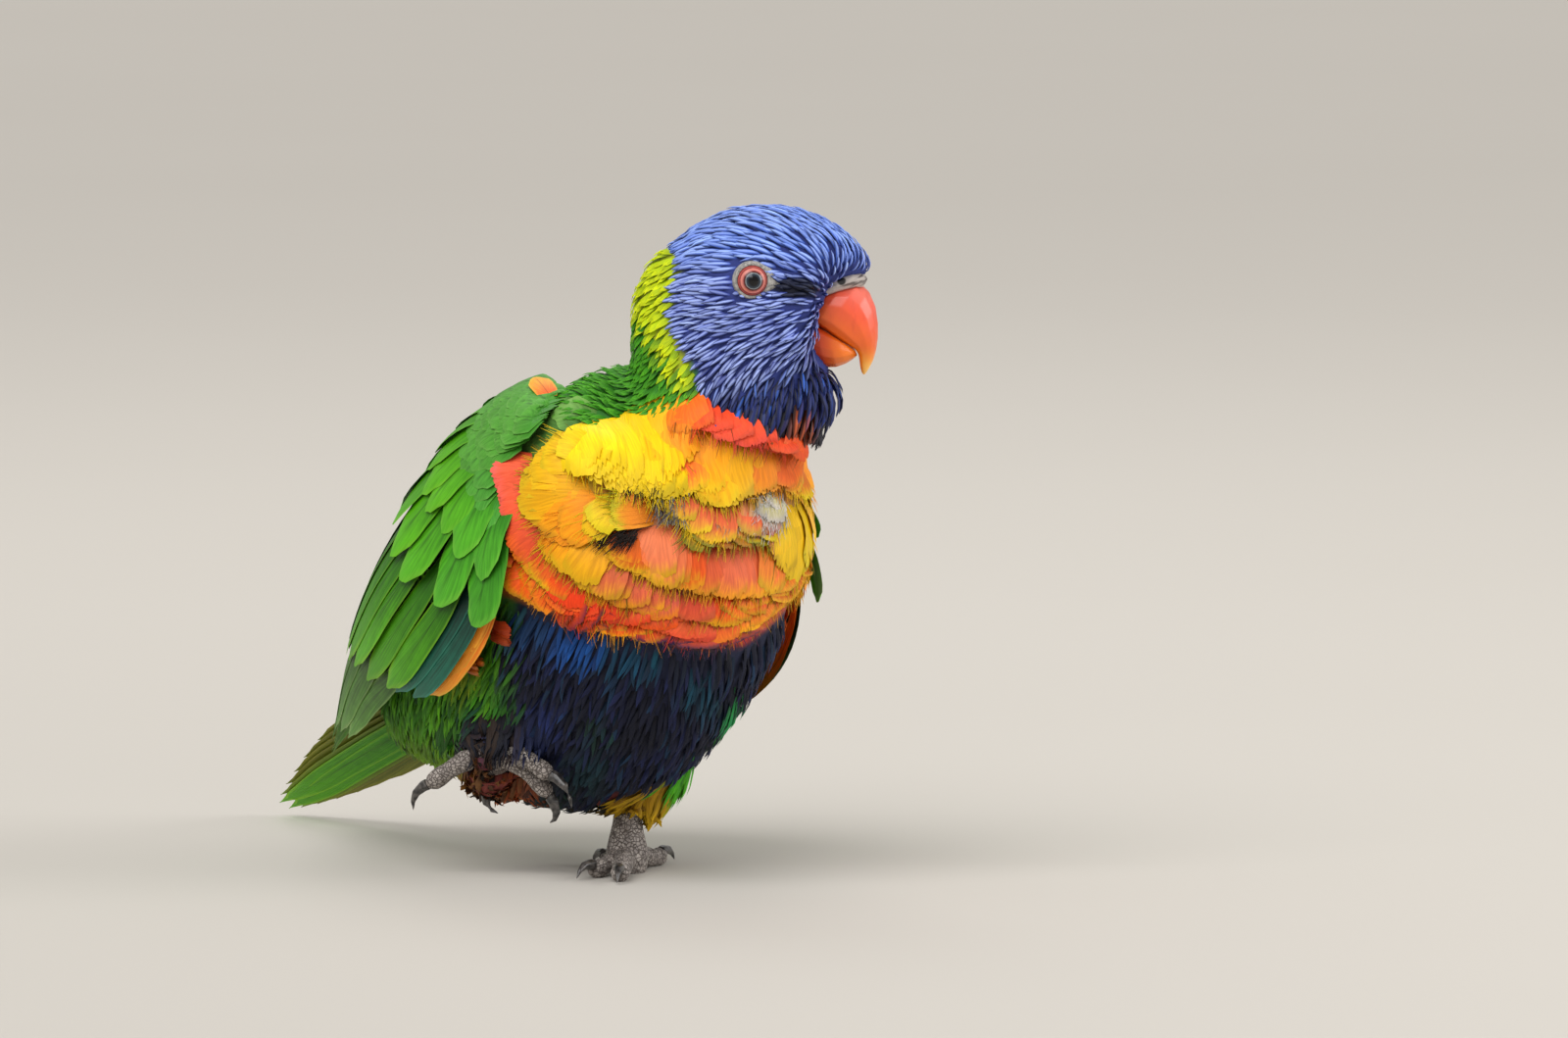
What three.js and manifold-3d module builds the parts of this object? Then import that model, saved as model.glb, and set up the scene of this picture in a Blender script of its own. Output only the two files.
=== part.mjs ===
// A life-size rainbow lorikeet that stands on its left foot, with its right foot drawn up under the belly
// and its head turned to its left. Millimetres, +Z up. The body faces -Y and the bird's left side is +X.
// The origin is on the floor under the sole of the standing foot.
import * as THREE from "three";
import { mergeVertices } from "three/addons/utils/BufferGeometryUtils.js";
import Module from "manifold-3d";

const wasm = await Module();
wasm.setup();

// Clearance between two pieces that meet
const GAP = 0.3;

// Middle of the standing foot in the frame in which the bird's shapes are given
const STAND = new THREE.Vector3(5.5, 9, 0);

const UP = new THREE.Vector3(0, 0, 1);
const LEFT = new THREE.Vector3(1, 0, 0);

const materials = {
  blue: { color: 0x2f4fa8, roughness: 0.7 },
  lime: { color: 0xb9d40a, roughness: 0.7 },
  green: { color: 0x3f9a14, roughness: 0.65 },
  orange: { color: 0xf28a12, roughness: 0.7 },
  bill: { color: 0xe8502c, roughness: 0.3 },
  cere: { color: 0x6f6a6c, roughness: 0.6 },
  eye: { color: 0x140c0c, roughness: 0.08 },
  skin: { color: 0x77706e, roughness: 0.75 },
  claw: { color: 0x35312f, roughness: 0.4 },
};

// Basic shape tools

function vector(x, y, z) {
  return new THREE.Vector3(x, y, z);
}

// A point of the bird's body from distances forward, to its left, and up
function place(forward, left, height) {
  return vector(left, -forward, height);
}

// A smooth value at t, from 0 to 1, along a list of stations, each a list of numbers
function along(stations, t) {
  const stretch = t * (stations.length - 1);
  const i = Math.min(Math.floor(stretch), stations.length - 2);
  const k = stretch - i;
  const station = (n) => stations[Math.min(Math.max(n, 0), stations.length - 1)];
  return station(i).map((value, c) => {
    const next = station(i + 1)[c];
    const slopeIn = (next - station(i - 1)[c]) / 2;
    const slopeOut = (station(i + 2)[c] - value) / 2;
    const bend = 2 * (value - next) + slopeIn + slopeOut;
    return value + k * (slopeIn + k * (3 * (next - value) - 2 * slopeIn - slopeOut + k * bend));
  });
}

// A ring round the line from low to high, half wide to either side of it.
// squareLow and squareHigh are 2 for a round end and more for a boxy one; widest moves the widest level.
function ring(low, high, half, shape = {}) {
  const { side = LEFT, points = 20, grow = 0, squareLow = 2, squareHigh = 2, widest = 0 } = shape;
  const middle = low.clone().lerp(high, 0.5);
  const axis = high.clone().sub(low).multiplyScalar(0.5);
  axis.setLength(axis.length() + grow);
  return Array.from({ length: points }, (_, n) => {
    const angle = (2 * Math.PI * n) / points;
    const [c, s] = [Math.cos(angle), Math.sin(angle)];
    const square = s < 0 ? squareLow : squareHigh;
    const across = Math.sign(c) * Math.abs(c) ** (2 / square) * (half + grow);
    const level = Math.sign(s) * Math.abs(s) ** (2 / square);
    const shifted = level + widest * (1 - level * level);
    return middle.clone().addScaledVector(side, across).addScaledVector(axis, shifted);
  });
}

// Turns a triangle list into a closed solid that faces out
function solidOf(points, faces) {
  const geometry = new THREE.BufferGeometry();
  geometry.setAttribute("position", new THREE.Float32BufferAttribute(points.flatMap((p) => [p.x, p.y, p.z]), 3));
  geometry.setIndex(faces.flat());
  return solidFrom(geometry);
}

function solidFrom(geometry) {
  const bare = geometry.clone();
  bare.deleteAttribute("normal");
  bare.deleteAttribute("uv");
  const merged = mergeVertices(bare, 1e-4);
  const build = (triVerts) =>
    new wasm.Manifold(new wasm.Mesh({ numProp: 3, vertProperties: merged.attributes.position.array, triVerts }));
  const indices = new Uint32Array(merged.index.array);
  const solid = build(indices);
  return solid.volume() > 0 ? solid : build(indices.slice().reverse());
}

// A closed skin over a list of rings, with a point at the middle of each end
function loft(rings) {
  const count = rings[0].length;
  const middleOf = (points) => points.reduce((sum, p) => sum.add(p), vector(0, 0, 0)).divideScalar(points.length);
  const last = rings.length - 1;
  const points = [...rings.flat(), middleOf(rings[0]), middleOf(rings[last])];
  const [start, end] = [points.length - 2, points.length - 1];
  const faces = [];
  for (let j = 0; j < count; j += 1) {
    const k = (j + 1) % count;
    faces.push([start, k, j], [end, last * count + j, last * count + k]);
    for (let i = 0; i < last; i += 1) {
      const [a, b] = [i * count, (i + 1) * count];
      faces.push([a + j, a + k, b + k], [a + j, b + k, b + j]);
    }
  }
  return solidOf(points, faces);
}

// A thin closed sheet between two grids of points of the same shape, both triangulated alike
function sheet(outer, inner) {
  const [rows, columns] = [outer.length, outer[0].length];
  const points = [...outer.flat(), ...inner.flat()];
  const back = rows * columns;
  const at = (i, j) => i * columns + j;
  const faces = [];
  const quad = (a, b, c, d) => faces.push([a, b, c], [a, c, d]);
  for (let i = 0; i < rows - 1; i += 1) {
    for (let j = 0; j < columns - 1; j += 1) {
      const [a, b, c, d] = [at(i, j), at(i, j + 1), at(i + 1, j + 1), at(i + 1, j)];
      quad(a, b, c, d);
      faces.push([back + a, back + c, back + b], [back + a, back + d, back + c]);
    }
  }
  const rim = [];
  for (let j = 0; j < columns - 1; j += 1) rim.push([at(0, j), at(0, j + 1)]);
  for (let i = 0; i < rows - 1; i += 1) rim.push([at(i, columns - 1), at(i + 1, columns - 1)]);
  for (let j = columns - 1; j > 0; j -= 1) rim.push([at(rows - 1, j), at(rows - 1, j - 1)]);
  for (let i = rows - 1; i > 0; i -= 1) rim.push([at(i, 0), at(i - 1, 0)]);
  for (const [from, to] of rim) quad(to, from, back + from, back + to);
  return solidOf(points, faces);
}

// Vane outline: share of its length, and of its half width there
const ROUND_VANE = [
  [0, 0.8],
  [0.6, 1],
  [0.88, 0.74],
  [1, 0.15],
];
const POINTED_VANE = [
  [0, 0.8],
  [0.5, 1],
  [0.85, 0.58],
  [1, 0.08],
];

// Step along a face, as a share of it, for measuring its direction
const NUDGE = 0.02;

// One feather's vane on a surface that gives a point and its normal for two coordinates.
// rise is how far its outer face stands off the surface at the root and at the tip, thick its thickness there,
// and tilt how much higher one long edge stands than the other.
function vane(surface, { from, to, width, outline, rise, thick, tilt }) {
  const at = (share) => surface(from[0] + (to[0] - from[0]) * share, from[1] + (to[1] - from[1]) * share);
  const rows = outline.map(([share, wide]) => {
    const mix = (pair) => pair[0] + (pair[1] - pair[0]) * share;
    const here = at(share);
    const run = at(share + NUDGE).point.sub(here.point).normalize();
    const across = run.clone().cross(here.normal).normalize();
    const half = (width / 2) * wide;
    const level = (hand) => mix(rise) + hand * tilt * wide;
    const corner = (hand, height) =>
      here.point.clone().addScaledVector(across, hand * half).addScaledVector(here.normal, height);
    return {
      outer: [corner(-1, level(-1)), corner(1, level(1))],
      inner: [corner(-1, level(-1) - mix(thick)), corner(1, level(1) - mix(thick))],
    };
  });
  return sheet(
    rows.map((row) => row.outer),
    rows.map((row) => row.inner),
  );
}

// The largest closed body of a solid
function largest(solid) {
  return solid.decompose().reduce((best, piece) => (piece.volume() > best.volume() ? piece : best));
}

const root = new THREE.Group();
const bird = new THREE.Group();
bird.position.set(-STAND.x, -STAND.y, 0);
root.add(bird);

function addNode(name, solid, finish) {
  const { vertProperties, triVerts } = largest(solid).getMesh();
  const geometry = new THREE.BufferGeometry();
  geometry.setAttribute("position", new THREE.BufferAttribute(new Float32Array(vertProperties), 3));
  geometry.setIndex(new THREE.BufferAttribute(new Uint32Array(triVerts), 1));
  geometry.computeVertexNormals();
  const mesh = new THREE.Mesh(geometry, new THREE.MeshStandardMaterial({ metalness: 0, ...materials[finish] }));
  mesh.name = name;
  bird.add(mesh);
}

// Head frame: forward along the bill, side to the bird's left, height above the floor

const HEAD_TURN = 58;
const HEAD_ORIGIN = vector(-6.2, -9.9, 1.5);
const turn = THREE.MathUtils.degToRad(90 - HEAD_TURN);
const HEAD_FORWARD = vector(Math.cos(turn), -Math.sin(turn), 0);
const HEAD_SIDE = vector(Math.sin(turn), Math.cos(turn), 0);

function headPoint(forward, side, height) {
  return HEAD_ORIGIN.clone()
    .addScaledVector(HEAD_FORWARD, forward)
    .addScaledVector(HEAD_SIDE, side)
    .addScaledVector(UP, height);
}

// Torso, from the tail root to the base of the neck: belly forward and height, back forward and height,
// half width, and how far the widest level is moved up
const TORSO = [
  [-99, 20, -99, 29, 5, 0],
  [-88, 19, -94, 38, 11, 0],
  [-64, 16, -82, 51, 22, 0.15],
  [-38, 12.5, -66, 67, 31, 0.25],
  [-8, 13, -50, 83, 35, 0.3],
  [20, 26, -34, 97, 37.2, 0.22],
  [38, 47, -20, 107, 37.4, 0.08],
  [45.5, 70, -10, 113, 35.5, 0],
  [44, 88, -4, 117, 31, 0],
  [36, 99, 2, 119, 23, 0],
  [27, 106, 10, 116, 9, 0],
];

function torso(grow = 0) {
  const steps = 15;
  const rings = [];
  for (let i = 0; i <= steps; i += 1) {
    const [bellyForward, bellyHeight, backForward, backHeight, half, widest] = along(TORSO, i / steps);
    const belly = place(bellyForward, 0, bellyHeight);
    const back = place(backForward, 0, backHeight);
    rings.push(ring(belly, back, half, { grow, points: 24, widest }));
  }
  return loft(rings);
}

// Neck, from inside the torso to inside the head: nape forward and height, throat forward and height, half width
const NECK = [
  [-9, 86, 39, 84, 23],
  [-7, 97, 41.5, 93.5, 22],
  [-2, 108, 46.5, 103, 21],
  [0.3, 117, 49.6, 112, 19.4],
  [1, 125, 46, 119, 17],
  [1.4, 133, 40, 128, 14],
  [5, 141, 34, 139, 9.5],
  [11, 146, 28, 146, 5],
];

function neck(grow = 0) {
  const steps = 8;
  const rings = [];
  for (let i = 0; i <= steps; i += 1) {
    const [napeForward, napeHeight, throatForward, throatHeight, half] = along(NECK, i / steps);
    const nape = headPoint(napeForward, 0, napeHeight);
    const throat = headPoint(throatForward, 0, throatHeight);
    rings.push(ring(nape, throat, half, { side: HEAD_SIDE, grow }));
  }
  return loft(rings);
}

// Skull: forward, underside height, crown height, half width
const SKULL = [
  [7, 128, 135, 5],
  [10, 120, 143.5, 12],
  [16, 112, 149.8, 16],
  [24, 107, 153.3, 18],
  [32, 105, 154.4, 18.2],
  [38, 107.5, 153.5, 17],
  [41.2, 113, 152.5, 15.8],
  [43.3, 122, 151.7, 14.4],
  [45, 131, 150.9, 12.8],
  [48.8, 135.4, 148.8, 10.2],
  [52, 136.6, 146, 7.8],
  [54.8, 136.8, 142.4, 5],
  [56.4, 137.3, 139.6, 1.8],
];

function skull() {
  const steps = 13;
  const rings = [];
  for (let i = 0; i <= steps; i += 1) {
    const [forward, under, crown, half] = along(SKULL, i / steps);
    rings.push(ring(headPoint(forward, 0, under), headPoint(forward, 0, crown), half, { side: HEAD_SIDE }));
  }
  return loft(rings);
}

// Bill: edge forward and height, ridge forward and height, half width, from inside the face to the tip
const UPPER_BILL = [
  [40.5, 128.5, 43.5, 132.8, 4],
  [42, 127, 47.4, 135.2, 5.7],
  [45, 125.1, 53, 136.2, 6.3],
  [48.3, 122.9, 56.3, 132.2, 5.9],
  [51, 121.4, 57.4, 126.6, 4.9],
  [52.6, 120.2, 57.2, 121.8, 3.5],
  [53.1, 118, 56.3, 118.2, 2.3],
  [53.4, 116, 55.1, 115.9, 1.2],
  [53.9, 114.9, 54.3, 114.8, 0.4],
];
const LOWER_BILL = [
  [40.5, 119, 38.2, 129, 4.6],
  [43.8, 116.8, 41.8, 127.6, 5.6],
  [47.5, 116.5, 45.2, 125.6, 5.4],
  [50.3, 117.5, 48.5, 123.8, 4.4],
  [52, 118.7, 51, 122, 3],
  [52.8, 119.4, 52.5, 120.8, 1.6],
];

function billHalf(stations, steps, squareLow, squareHigh, grow) {
  const rings = [];
  for (let i = 0; i <= steps; i += 1) {
    const [lowForward, lowHeight, highForward, highHeight, half] = along(stations, i / steps);
    const low = headPoint(lowForward, 0, lowHeight);
    const high = headPoint(highForward, 0, highHeight);
    rings.push(ring(low, high, half, { side: HEAD_SIDE, points: 14, squareLow, squareHigh, grow }));
  }
  return loft(rings);
}

const upperBill = (grow = 0) => billHalf(UPPER_BILL, 12, 3.4, 2, grow);
const lowerBill = (grow = 0) => billHalf(LOWER_BILL, 7, 2, 3.4, grow);

// Cere: the bare band over the root of the upper bill
const CERE = [
  [41.5, 129.5, 43, 133.6, 3.6],
  [43, 131.2, 45.6, 136.6, 5.6],
  [46.4, 132.6, 49.4, 138.4, 6.3],
  [50.4, 133.8, 53.2, 138.6, 5.4],
  [53.4, 134.2, 55, 136.8, 3],
];
const NOSTRIL = { forward: 48.6, side: 4.6, height: 137, radius: 0.7, depth: 2, upward: 0.7 };

function cere(grow = 0) {
  return billHalf(CERE, 6, 2, 2.4, grow);
}

function nostril(hand) {
  const peg = new THREE.CylinderGeometry(NOSTRIL.radius, NOSTRIL.radius, 2 * NOSTRIL.depth, 10);
  const aim = HEAD_SIDE.clone().multiplyScalar(hand).addScaledVector(UP, NOSTRIL.upward).normalize();
  peg.applyQuaternion(new THREE.Quaternion().setFromUnitVectors(vector(0, 1, 0), aim));
  const centre = headPoint(NOSTRIL.forward, hand * NOSTRIL.side, NOSTRIL.height);
  peg.translate(centre.x, centre.y, centre.z);
  return solidFrom(peg);
}

// Eyes: hand is 1 on the bird's left and -1 on its right
// aim is how far an eye looks forward, and ringOut how far its lid stands out from the ball's middle
const EYE = {
  forward: 28.5,
  height: 137.6,
  side: 15.4,
  radius: 3.8,
  aim: 0.16,
  ring: 3.65,
  ringThick: 0.75,
  ringOut: 1.9,
};

function eyeCentre(hand) {
  return headPoint(EYE.forward, hand * EYE.side, EYE.height);
}

function eyeAim(hand) {
  return HEAD_SIDE.clone().multiplyScalar(hand).addScaledVector(HEAD_FORWARD, EYE.aim).normalize();
}

function eyeBall(hand, grow = 0) {
  const ball = new THREE.SphereGeometry(EYE.radius + grow, 14, 8);
  const centre = eyeCentre(hand);
  ball.translate(centre.x, centre.y, centre.z);
  return solidFrom(ball);
}

function eyeRing(hand) {
  const lid = new THREE.TorusGeometry(EYE.ring, EYE.ringThick, 5, 14);
  lid.applyQuaternion(new THREE.Quaternion().setFromUnitVectors(UP, eyeAim(hand)));
  const centre = eyeCentre(hand).addScaledVector(eyeAim(hand), EYE.ringOut);
  lid.translate(centre.x, centre.y, centre.z);
  return solidFrom(lid);
}

// Blue mask: everything ahead of and above a rounded corner, right across the head
const MASK = { back: 11, under: 99.5, corner: 25, reach: 80, wide: 80, top: 190 };

function mask(grow = 0) {
  const { back, under, corner, reach, top } = MASK;
  const shape = new THREE.Shape();
  shape.moveTo(back - grow, top);
  shape.lineTo(back - grow, under + corner);
  shape.absarc(back + corner, under + corner, corner + grow, Math.PI, 1.5 * Math.PI, false);
  shape.lineTo(reach, under - grow);
  shape.lineTo(reach, top);
  const block = new THREE.ExtrudeGeometry(shape, { depth: MASK.wide, bevelEnabled: false, curveSegments: 10 });
  const basis = new THREE.Matrix4().makeBasis(HEAD_FORWARD, UP, HEAD_SIDE.clone().negate());
  const start = headPoint(0, MASK.wide / 2, 0);
  block.applyMatrix4(basis.setPosition(start));
  return solidFrom(block);
}

const body = torso().add(neck()).add(skull());
const bodyWithLids = body.add(eyeRing(1)).add(eyeRing(-1));

// The plane between torso and neck: its normal and its height above the origin
const COLLAR_NORMAL = vector(0.1, -0.35, 1).normalize();
const COLLAR_HEIGHT = 111;

function trim(solid, normal, offset) {
  return solid.trimByPlane([normal.x, normal.y, normal.z], offset);
}

const collar = COLLAR_NORMAL.z * COLLAR_HEIGHT;
const upper = trim(bodyWithLids, COLLAR_NORMAL, collar + GAP / 2);
const lower = trim(body, COLLAR_NORMAL.clone().negate(), -collar + GAP / 2);

let head = upper.intersect(mask());
for (const piece of [upperBill(GAP), lowerBill(GAP), cere(GAP), eyeBall(1, GAP), eyeBall(-1, GAP)]) {
  head = head.subtract(piece);
}
addNode("head", head, "blue");
addNode("neck", upper.subtract(mask(GAP)), "lime");
addNode("upper_bill", upperBill(), "bill");
addNode("lower_bill", lowerBill().subtract(upperBill(GAP)), "bill");
addNode("cere", cere().subtract(upperBill(GAP)).subtract(nostril(1)).subtract(nostril(-1)), "cere");
addNode("eye_left", eyeBall(1), "eye");
addNode("eye_right", eyeBall(-1), "eye");

// Wings: stations from the shoulder to the tip, each with the lower edge, the middle and the upper edge of the
// outer face (forward, left, height) and the thickness. Seen from behind, the left wing hangs lower.
const WING_RIGHT = [
  [15, -33, 100, 11, -32, 106, 5, -22, 112, 5],
  [10, -39, 82, -9.2, -34, 101.6, -14, -16, 113.6, 8],
  [7, -41, 61, -26.5, -38.6, 87, -30, -10, 104.4, 9],
  [-20, -39, 42, -44.4, -39.8, 69.4, -50, -5, 86.6, 8],
  [-55, -30.5, 33, -70, -32, 48.5, -74, -3, 62.5, 5.5],
  [-90, -19.5, 21.8, -93, -21, 32, -94, -5, 39, 3.5],
  [-118, -10.5, 15, -119, -10, 16.6, -119, -7.6, 18.4, 2],
];
const WING_LEFT = [
  [15, 33, 100, 11, 32, 106, 5, 22, 112, 5],
  [15, 40, 79, -7, 38, 102, -14, 16, 114.5, 8],
  [8, 43, 53, -20, 44, 84, -30, 10, 105.5, 9],
  [-11, 39.5, 35.5, -42, 43.5, 68.5, -50, 5, 88, 8],
  [-50, 31, 29, -70, 33.5, 48.5, -74, 3, 63.5, 5.5],
  [-84, 19, 25, -94, 21, 35, -95, 5, 43, 3.5],
  [-116, 12, 22, -117, 11, 23.5, -117, 7, 25, 2],
];

// A point on the outer face of a wing and the normal there: a runs from shoulder to tip, t from the lower edge up
function wingFace(stations, hand) {
  const facePoint = (a, t) => {
    const station = along(stations, a);
    const [low, middle, high] = [0, 3, 6].map((n) => place(...station.slice(n, n + 3)));
    const control = middle.clone().multiplyScalar(2).sub(low.clone().lerp(high, 0.5));
    return low
      .clone()
      .multiplyScalar((1 - t) ** 2)
      .addScaledVector(control, 2 * t * (1 - t))
      .addScaledVector(high, t * t);
  };
  return (a, t) => {
    const inside = (value) => Math.min(Math.max(value, NUDGE), 1 - NUDGE);
    const [p, q] = [inside(a), inside(t)];
    const point = facePoint(a, t);
    const down = facePoint(p + NUDGE, q).sub(facePoint(p - NUDGE, q));
    const upward = facePoint(p, q + NUDGE).sub(facePoint(p, q - NUDGE));
    const normal = down.cross(upward).normalize().multiplyScalar(hand);
    return { point, normal };
  };
}

// The body of a wing under its feathers: a plate inside the outer face, stopping short of the lower edge and tip.
// It is rim of its full thickness at its long edges.
const PLATE = { steps: 9, columns: 6, sink: 1, end: 0.86, low: 0.05, rim: 0.25 };

function wingPlate(face, stations) {
  const { steps, columns, sink, end, low, rim } = PLATE;
  const grid = (depthAt) =>
    Array.from({ length: steps + 1 }, (_, i) =>
      Array.from({ length: columns + 1 }, (_unused, j) => {
        const share = j / columns;
        const a = (end * i) / steps;
        const { point, normal } = face(a, low + (1 - low) * share);
        return point.addScaledVector(normal, -depthAt(a, share));
      }),
    );
  const thickness = (a, share) => along(stations, a)[9] * (rim + (1 - rim) * (4 * share * (1 - share)) ** 0.5);
  return sheet(
    grid(() => sink),
    grid((a, share) => sink + thickness(a, share)),
  );
}

// Feather tiers of a wing, the lowest first: primaries, secondaries, greater coverts and median coverts.
// Each has its count, where the first and last feather have their roots and tips on the face, and its vanes' form.
const WING_TIERS = [
  {
    count: 6,
    roots: [[0.5, 0.1], [0.5, 0.8]],
    tips: [[0.84, 0.04], [1, 0.86]],
    width: 9,
    outline: POINTED_VANE,
    rise: [-0.4, 0.5],
    thick: [1.4, 1.3],
    tilt: -0.3,
  },
  {
    count: 8,
    roots: [[0.32, 0.16], [0.36, 0.92]],
    tips: [[0.5, 0.03], [0.7, 0.92]],
    width: 12.5,
    outline: ROUND_VANE,
    rise: [-0.6, 1],
    thick: [1.5, 2.5],
    tilt: -0.4,
  },
  {
    count: 7,
    roots: [[0.23, 0.1], [0.23, 0.86]],
    tips: [[0.4, 0.04], [0.47, 0.86]],
    width: 13,
    outline: ROUND_VANE,
    rise: [-0.8, 1.7],
    thick: [1.8, 3.2],
    tilt: -0.4,
  },
  {
    count: 6,
    roots: [[0.14, 0.12], [0.14, 0.84]],
    tips: [[0.29, 0.06], [0.33, 0.82]],
    width: 13.5,
    outline: ROUND_VANE,
    rise: [-1.7, 2],
    thick: [1.6, 3.4],
    tilt: -0.4,
  },
];

function wing(stations, hand) {
  const face = wingFace(stations, hand);
  const mix = (pair, share, n) => pair[0][n] + (pair[1][n] - pair[0][n]) * share;
  let solid = wingPlate(face, stations);
  for (const { count, roots, tips, ...form } of WING_TIERS) {
    for (let n = 0; n < count; n += 1) {
      const share = n / (count - 1);
      const from = [mix(roots, share, 0), mix(roots, share, 1)];
      const to = [mix(tips, share, 0), mix(tips, share, 1)];
      solid = solid.add(vane(face, { from, to, ...form, tilt: form.tilt * hand }));
    }
  }
  return solid;
}

// Tail: middle of the fan (forward, left, height) and half thickness of its core, from the root to the tip.
// The fan is rolled, with its right edge up.
const TAIL = [
  [-56, 0, 41, 3.4],
  [-78, 0, 33.5, 2.6],
  [-104, 0.5, 23.5, 1.6],
  [-128, 1.5, 14.5, 1.1],
  [-146, 2.4, 7.6, 0.8],
  [-160, 3, 2.9, 0.5],
];
const TAIL_ROLL = THREE.MathUtils.degToRad(32);
const TAIL_SIDE = vector(Math.cos(TAIL_ROLL), 0, -Math.sin(TAIL_ROLL));
const TAIL_CORE = { end: 0.62, half: 7, taper: 0.75 };
// Pairs of tail feathers, the middle pair first: length as a share of the tail, and spread of the tips
const TAIL_PAIRS = 6;
const TAIL_SHARE = [1, 0.94, 0.87, 0.79, 0.7, 0.6];
const TAIL_TIPS = { first: 1.5, last: 10.4 };
const TAIL_ROOTS = { first: 0.8, last: 5 };
// Tail vane: width, thickness at root and tip, level of the middle pair on the core, drop to each next pair,
// and how much the right feather of a pair stands over the left one
const TAIL_VANE = { root: 0.05, width: 8.4, thick: [1.1, 0.7], level: 0.7, drop: 0.42, over: 0.12, tilt: 0.15 };

function tailFace(a, across) {
  const [forward, left, height] = along(TAIL, a);
  const [nextForward, nextLeft, nextHeight] = along(TAIL, Math.min(a + NUDGE, 1));
  const [lastForward, lastLeft, lastHeight] = along(TAIL, Math.max(a - NUDGE, 0));
  const run = place(nextForward, nextLeft, nextHeight).sub(place(lastForward, lastLeft, lastHeight));
  const normal = run.cross(TAIL_SIDE).normalize();
  return { point: place(forward, left, height).addScaledVector(TAIL_SIDE, across), normal };
}

function tail(grow = 0) {
  const steps = 8;
  const rings = [];
  for (let i = 0; i <= steps; i += 1) {
    const a = (TAIL_CORE.end * i) / steps;
    const { point, normal } = tailFace(a, 0);
    const half = TAIL_CORE.half * (1 - TAIL_CORE.taper * (i / steps) ** 3);
    const thick = along(TAIL, a)[3];
    const low = point.clone().addScaledVector(normal, -thick);
    const high = point.clone().addScaledVector(normal, thick);
    rings.push(ring(low, high, half, { side: TAIL_SIDE, points: 10, grow }));
  }
  let solid = loft(rings);
  for (let n = TAIL_PAIRS - 1; n >= 0; n -= 1) {
    const share = n / (TAIL_PAIRS - 1);
    for (const hand of [-1, 1]) {
      const root = hand * (TAIL_ROOTS.first + (TAIL_ROOTS.last - TAIL_ROOTS.first) * share);
      const tip = hand * (TAIL_TIPS.first + (TAIL_TIPS.last - TAIL_TIPS.first) * share);
      const level = TAIL_VANE.level - TAIL_VANE.drop * n + (hand > 0 ? 0 : TAIL_VANE.over) + grow;
      solid = solid.add(
        vane(tailFace, {
          from: [TAIL_VANE.root, root],
          to: [TAIL_SHARE[n], tip],
          width: TAIL_VANE.width + 2 * grow,
          outline: POINTED_VANE,
          rise: [level, level],
          thick: TAIL_VANE.thick.map((value) => value + 2 * grow),
          tilt: -TAIL_VANE.tilt * hand,
        }),
      );
    }
  }
  return solid;
}

// Legs and feet: a rod through points, each forward, left, height and radius
function rod(stations, steps, points, grow = 0) {
  const rows = Array.from({ length: steps + 1 }, (_, i) => along(stations, i / steps));
  const centres = rows.map(([forward, left, height]) => place(forward, left, height));
  const rings = rows.map((row, i) => {
    const ahead = centres[Math.min(i + 1, steps)].clone().sub(centres[Math.max(i - 1, 0)]).normalize();
    const reference = Math.abs(ahead.z) > 0.8 ? vector(0, 1, 0) : UP;
    const across = ahead.clone().cross(reference).normalize();
    const upward = across.clone().cross(ahead).normalize();
    return Array.from({ length: points }, (_, n) => {
      const angle = (2 * Math.PI * n) / points;
      return centres[i]
        .clone()
        .addScaledVector(across, Math.cos(angle) * (row[3] + grow))
        .addScaledVector(upward, Math.sin(angle) * (row[3] + grow));
    });
  });
  return loft(rings);
}

// A toe gets thinner by taper towards its end, and a pad swells it at each of its bones
const TOE = { taper: 0.2, swell: 0.1, tip: 0.62, points: 8 };
const CLAW = { radius: 1.55, taper: 0.93, bend: 1.4, steps: 4, points: 7 };

function toe({ path, radius, bones }, grow = 0) {
  const steps = 3 * bones + 1;
  const rows = Array.from({ length: steps + 1 }, (_, i) => {
    const t = i / steps;
    const [forward, left, height] = along(path, t);
    const swell = 1 - TOE.swell * Math.cos(2 * Math.PI * bones * t);
    const end = i === steps ? TOE.tip : 1;
    return [forward, left, height, radius * (1 - TOE.taper * t) * swell * end];
  });
  return rod(rows, steps, TOE.points, grow);
}

function claw({ clawPath }, grow = 0) {
  const rows = Array.from({ length: CLAW.steps + 1 }, (_, i) => {
    const t = i / CLAW.steps;
    const [forward, left, height] = along(clawPath, t);
    return [forward, left, height, CLAW.radius * (1 - CLAW.taper * t ** CLAW.bend)];
  });
  return rod(rows, CLAW.steps, CLAW.points, grow);
}

// A toe that stands on the floor: heading in degrees, 0 to the bird's left and 90 to the rear, and how far its
// first bone is arched. The floor flattens it by a little under its radius, and its claw's tip ends just over it.
const SOLE = 0.84;
const CLAW_CLEAR = 0.5;

function standingToe({ heading, length, bones, radius, arch }) {
  const a = THREE.MathUtils.degToRad(heading);
  const [forward, left] = [-Math.sin(a), Math.cos(a)];
  const at = (distance, height) => [-STAND.y + forward * distance, STAND.x + left * distance, height];
  const sole = radius * SOLE;
  const path = [at(2, sole + 1.6), at(0.4 * length, sole + arch), at(0.75 * length, sole), at(length, sole)];
  const clawPath = [
    at(length - 2, sole + 0.6),
    at(length + 1.6, sole + 1.3),
    at(length + 4.6, sole + 0.6),
    at(length + 6.6, CLAW_CLEAR),
  ];
  return { path, clawPath, bones, radius };
}

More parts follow.
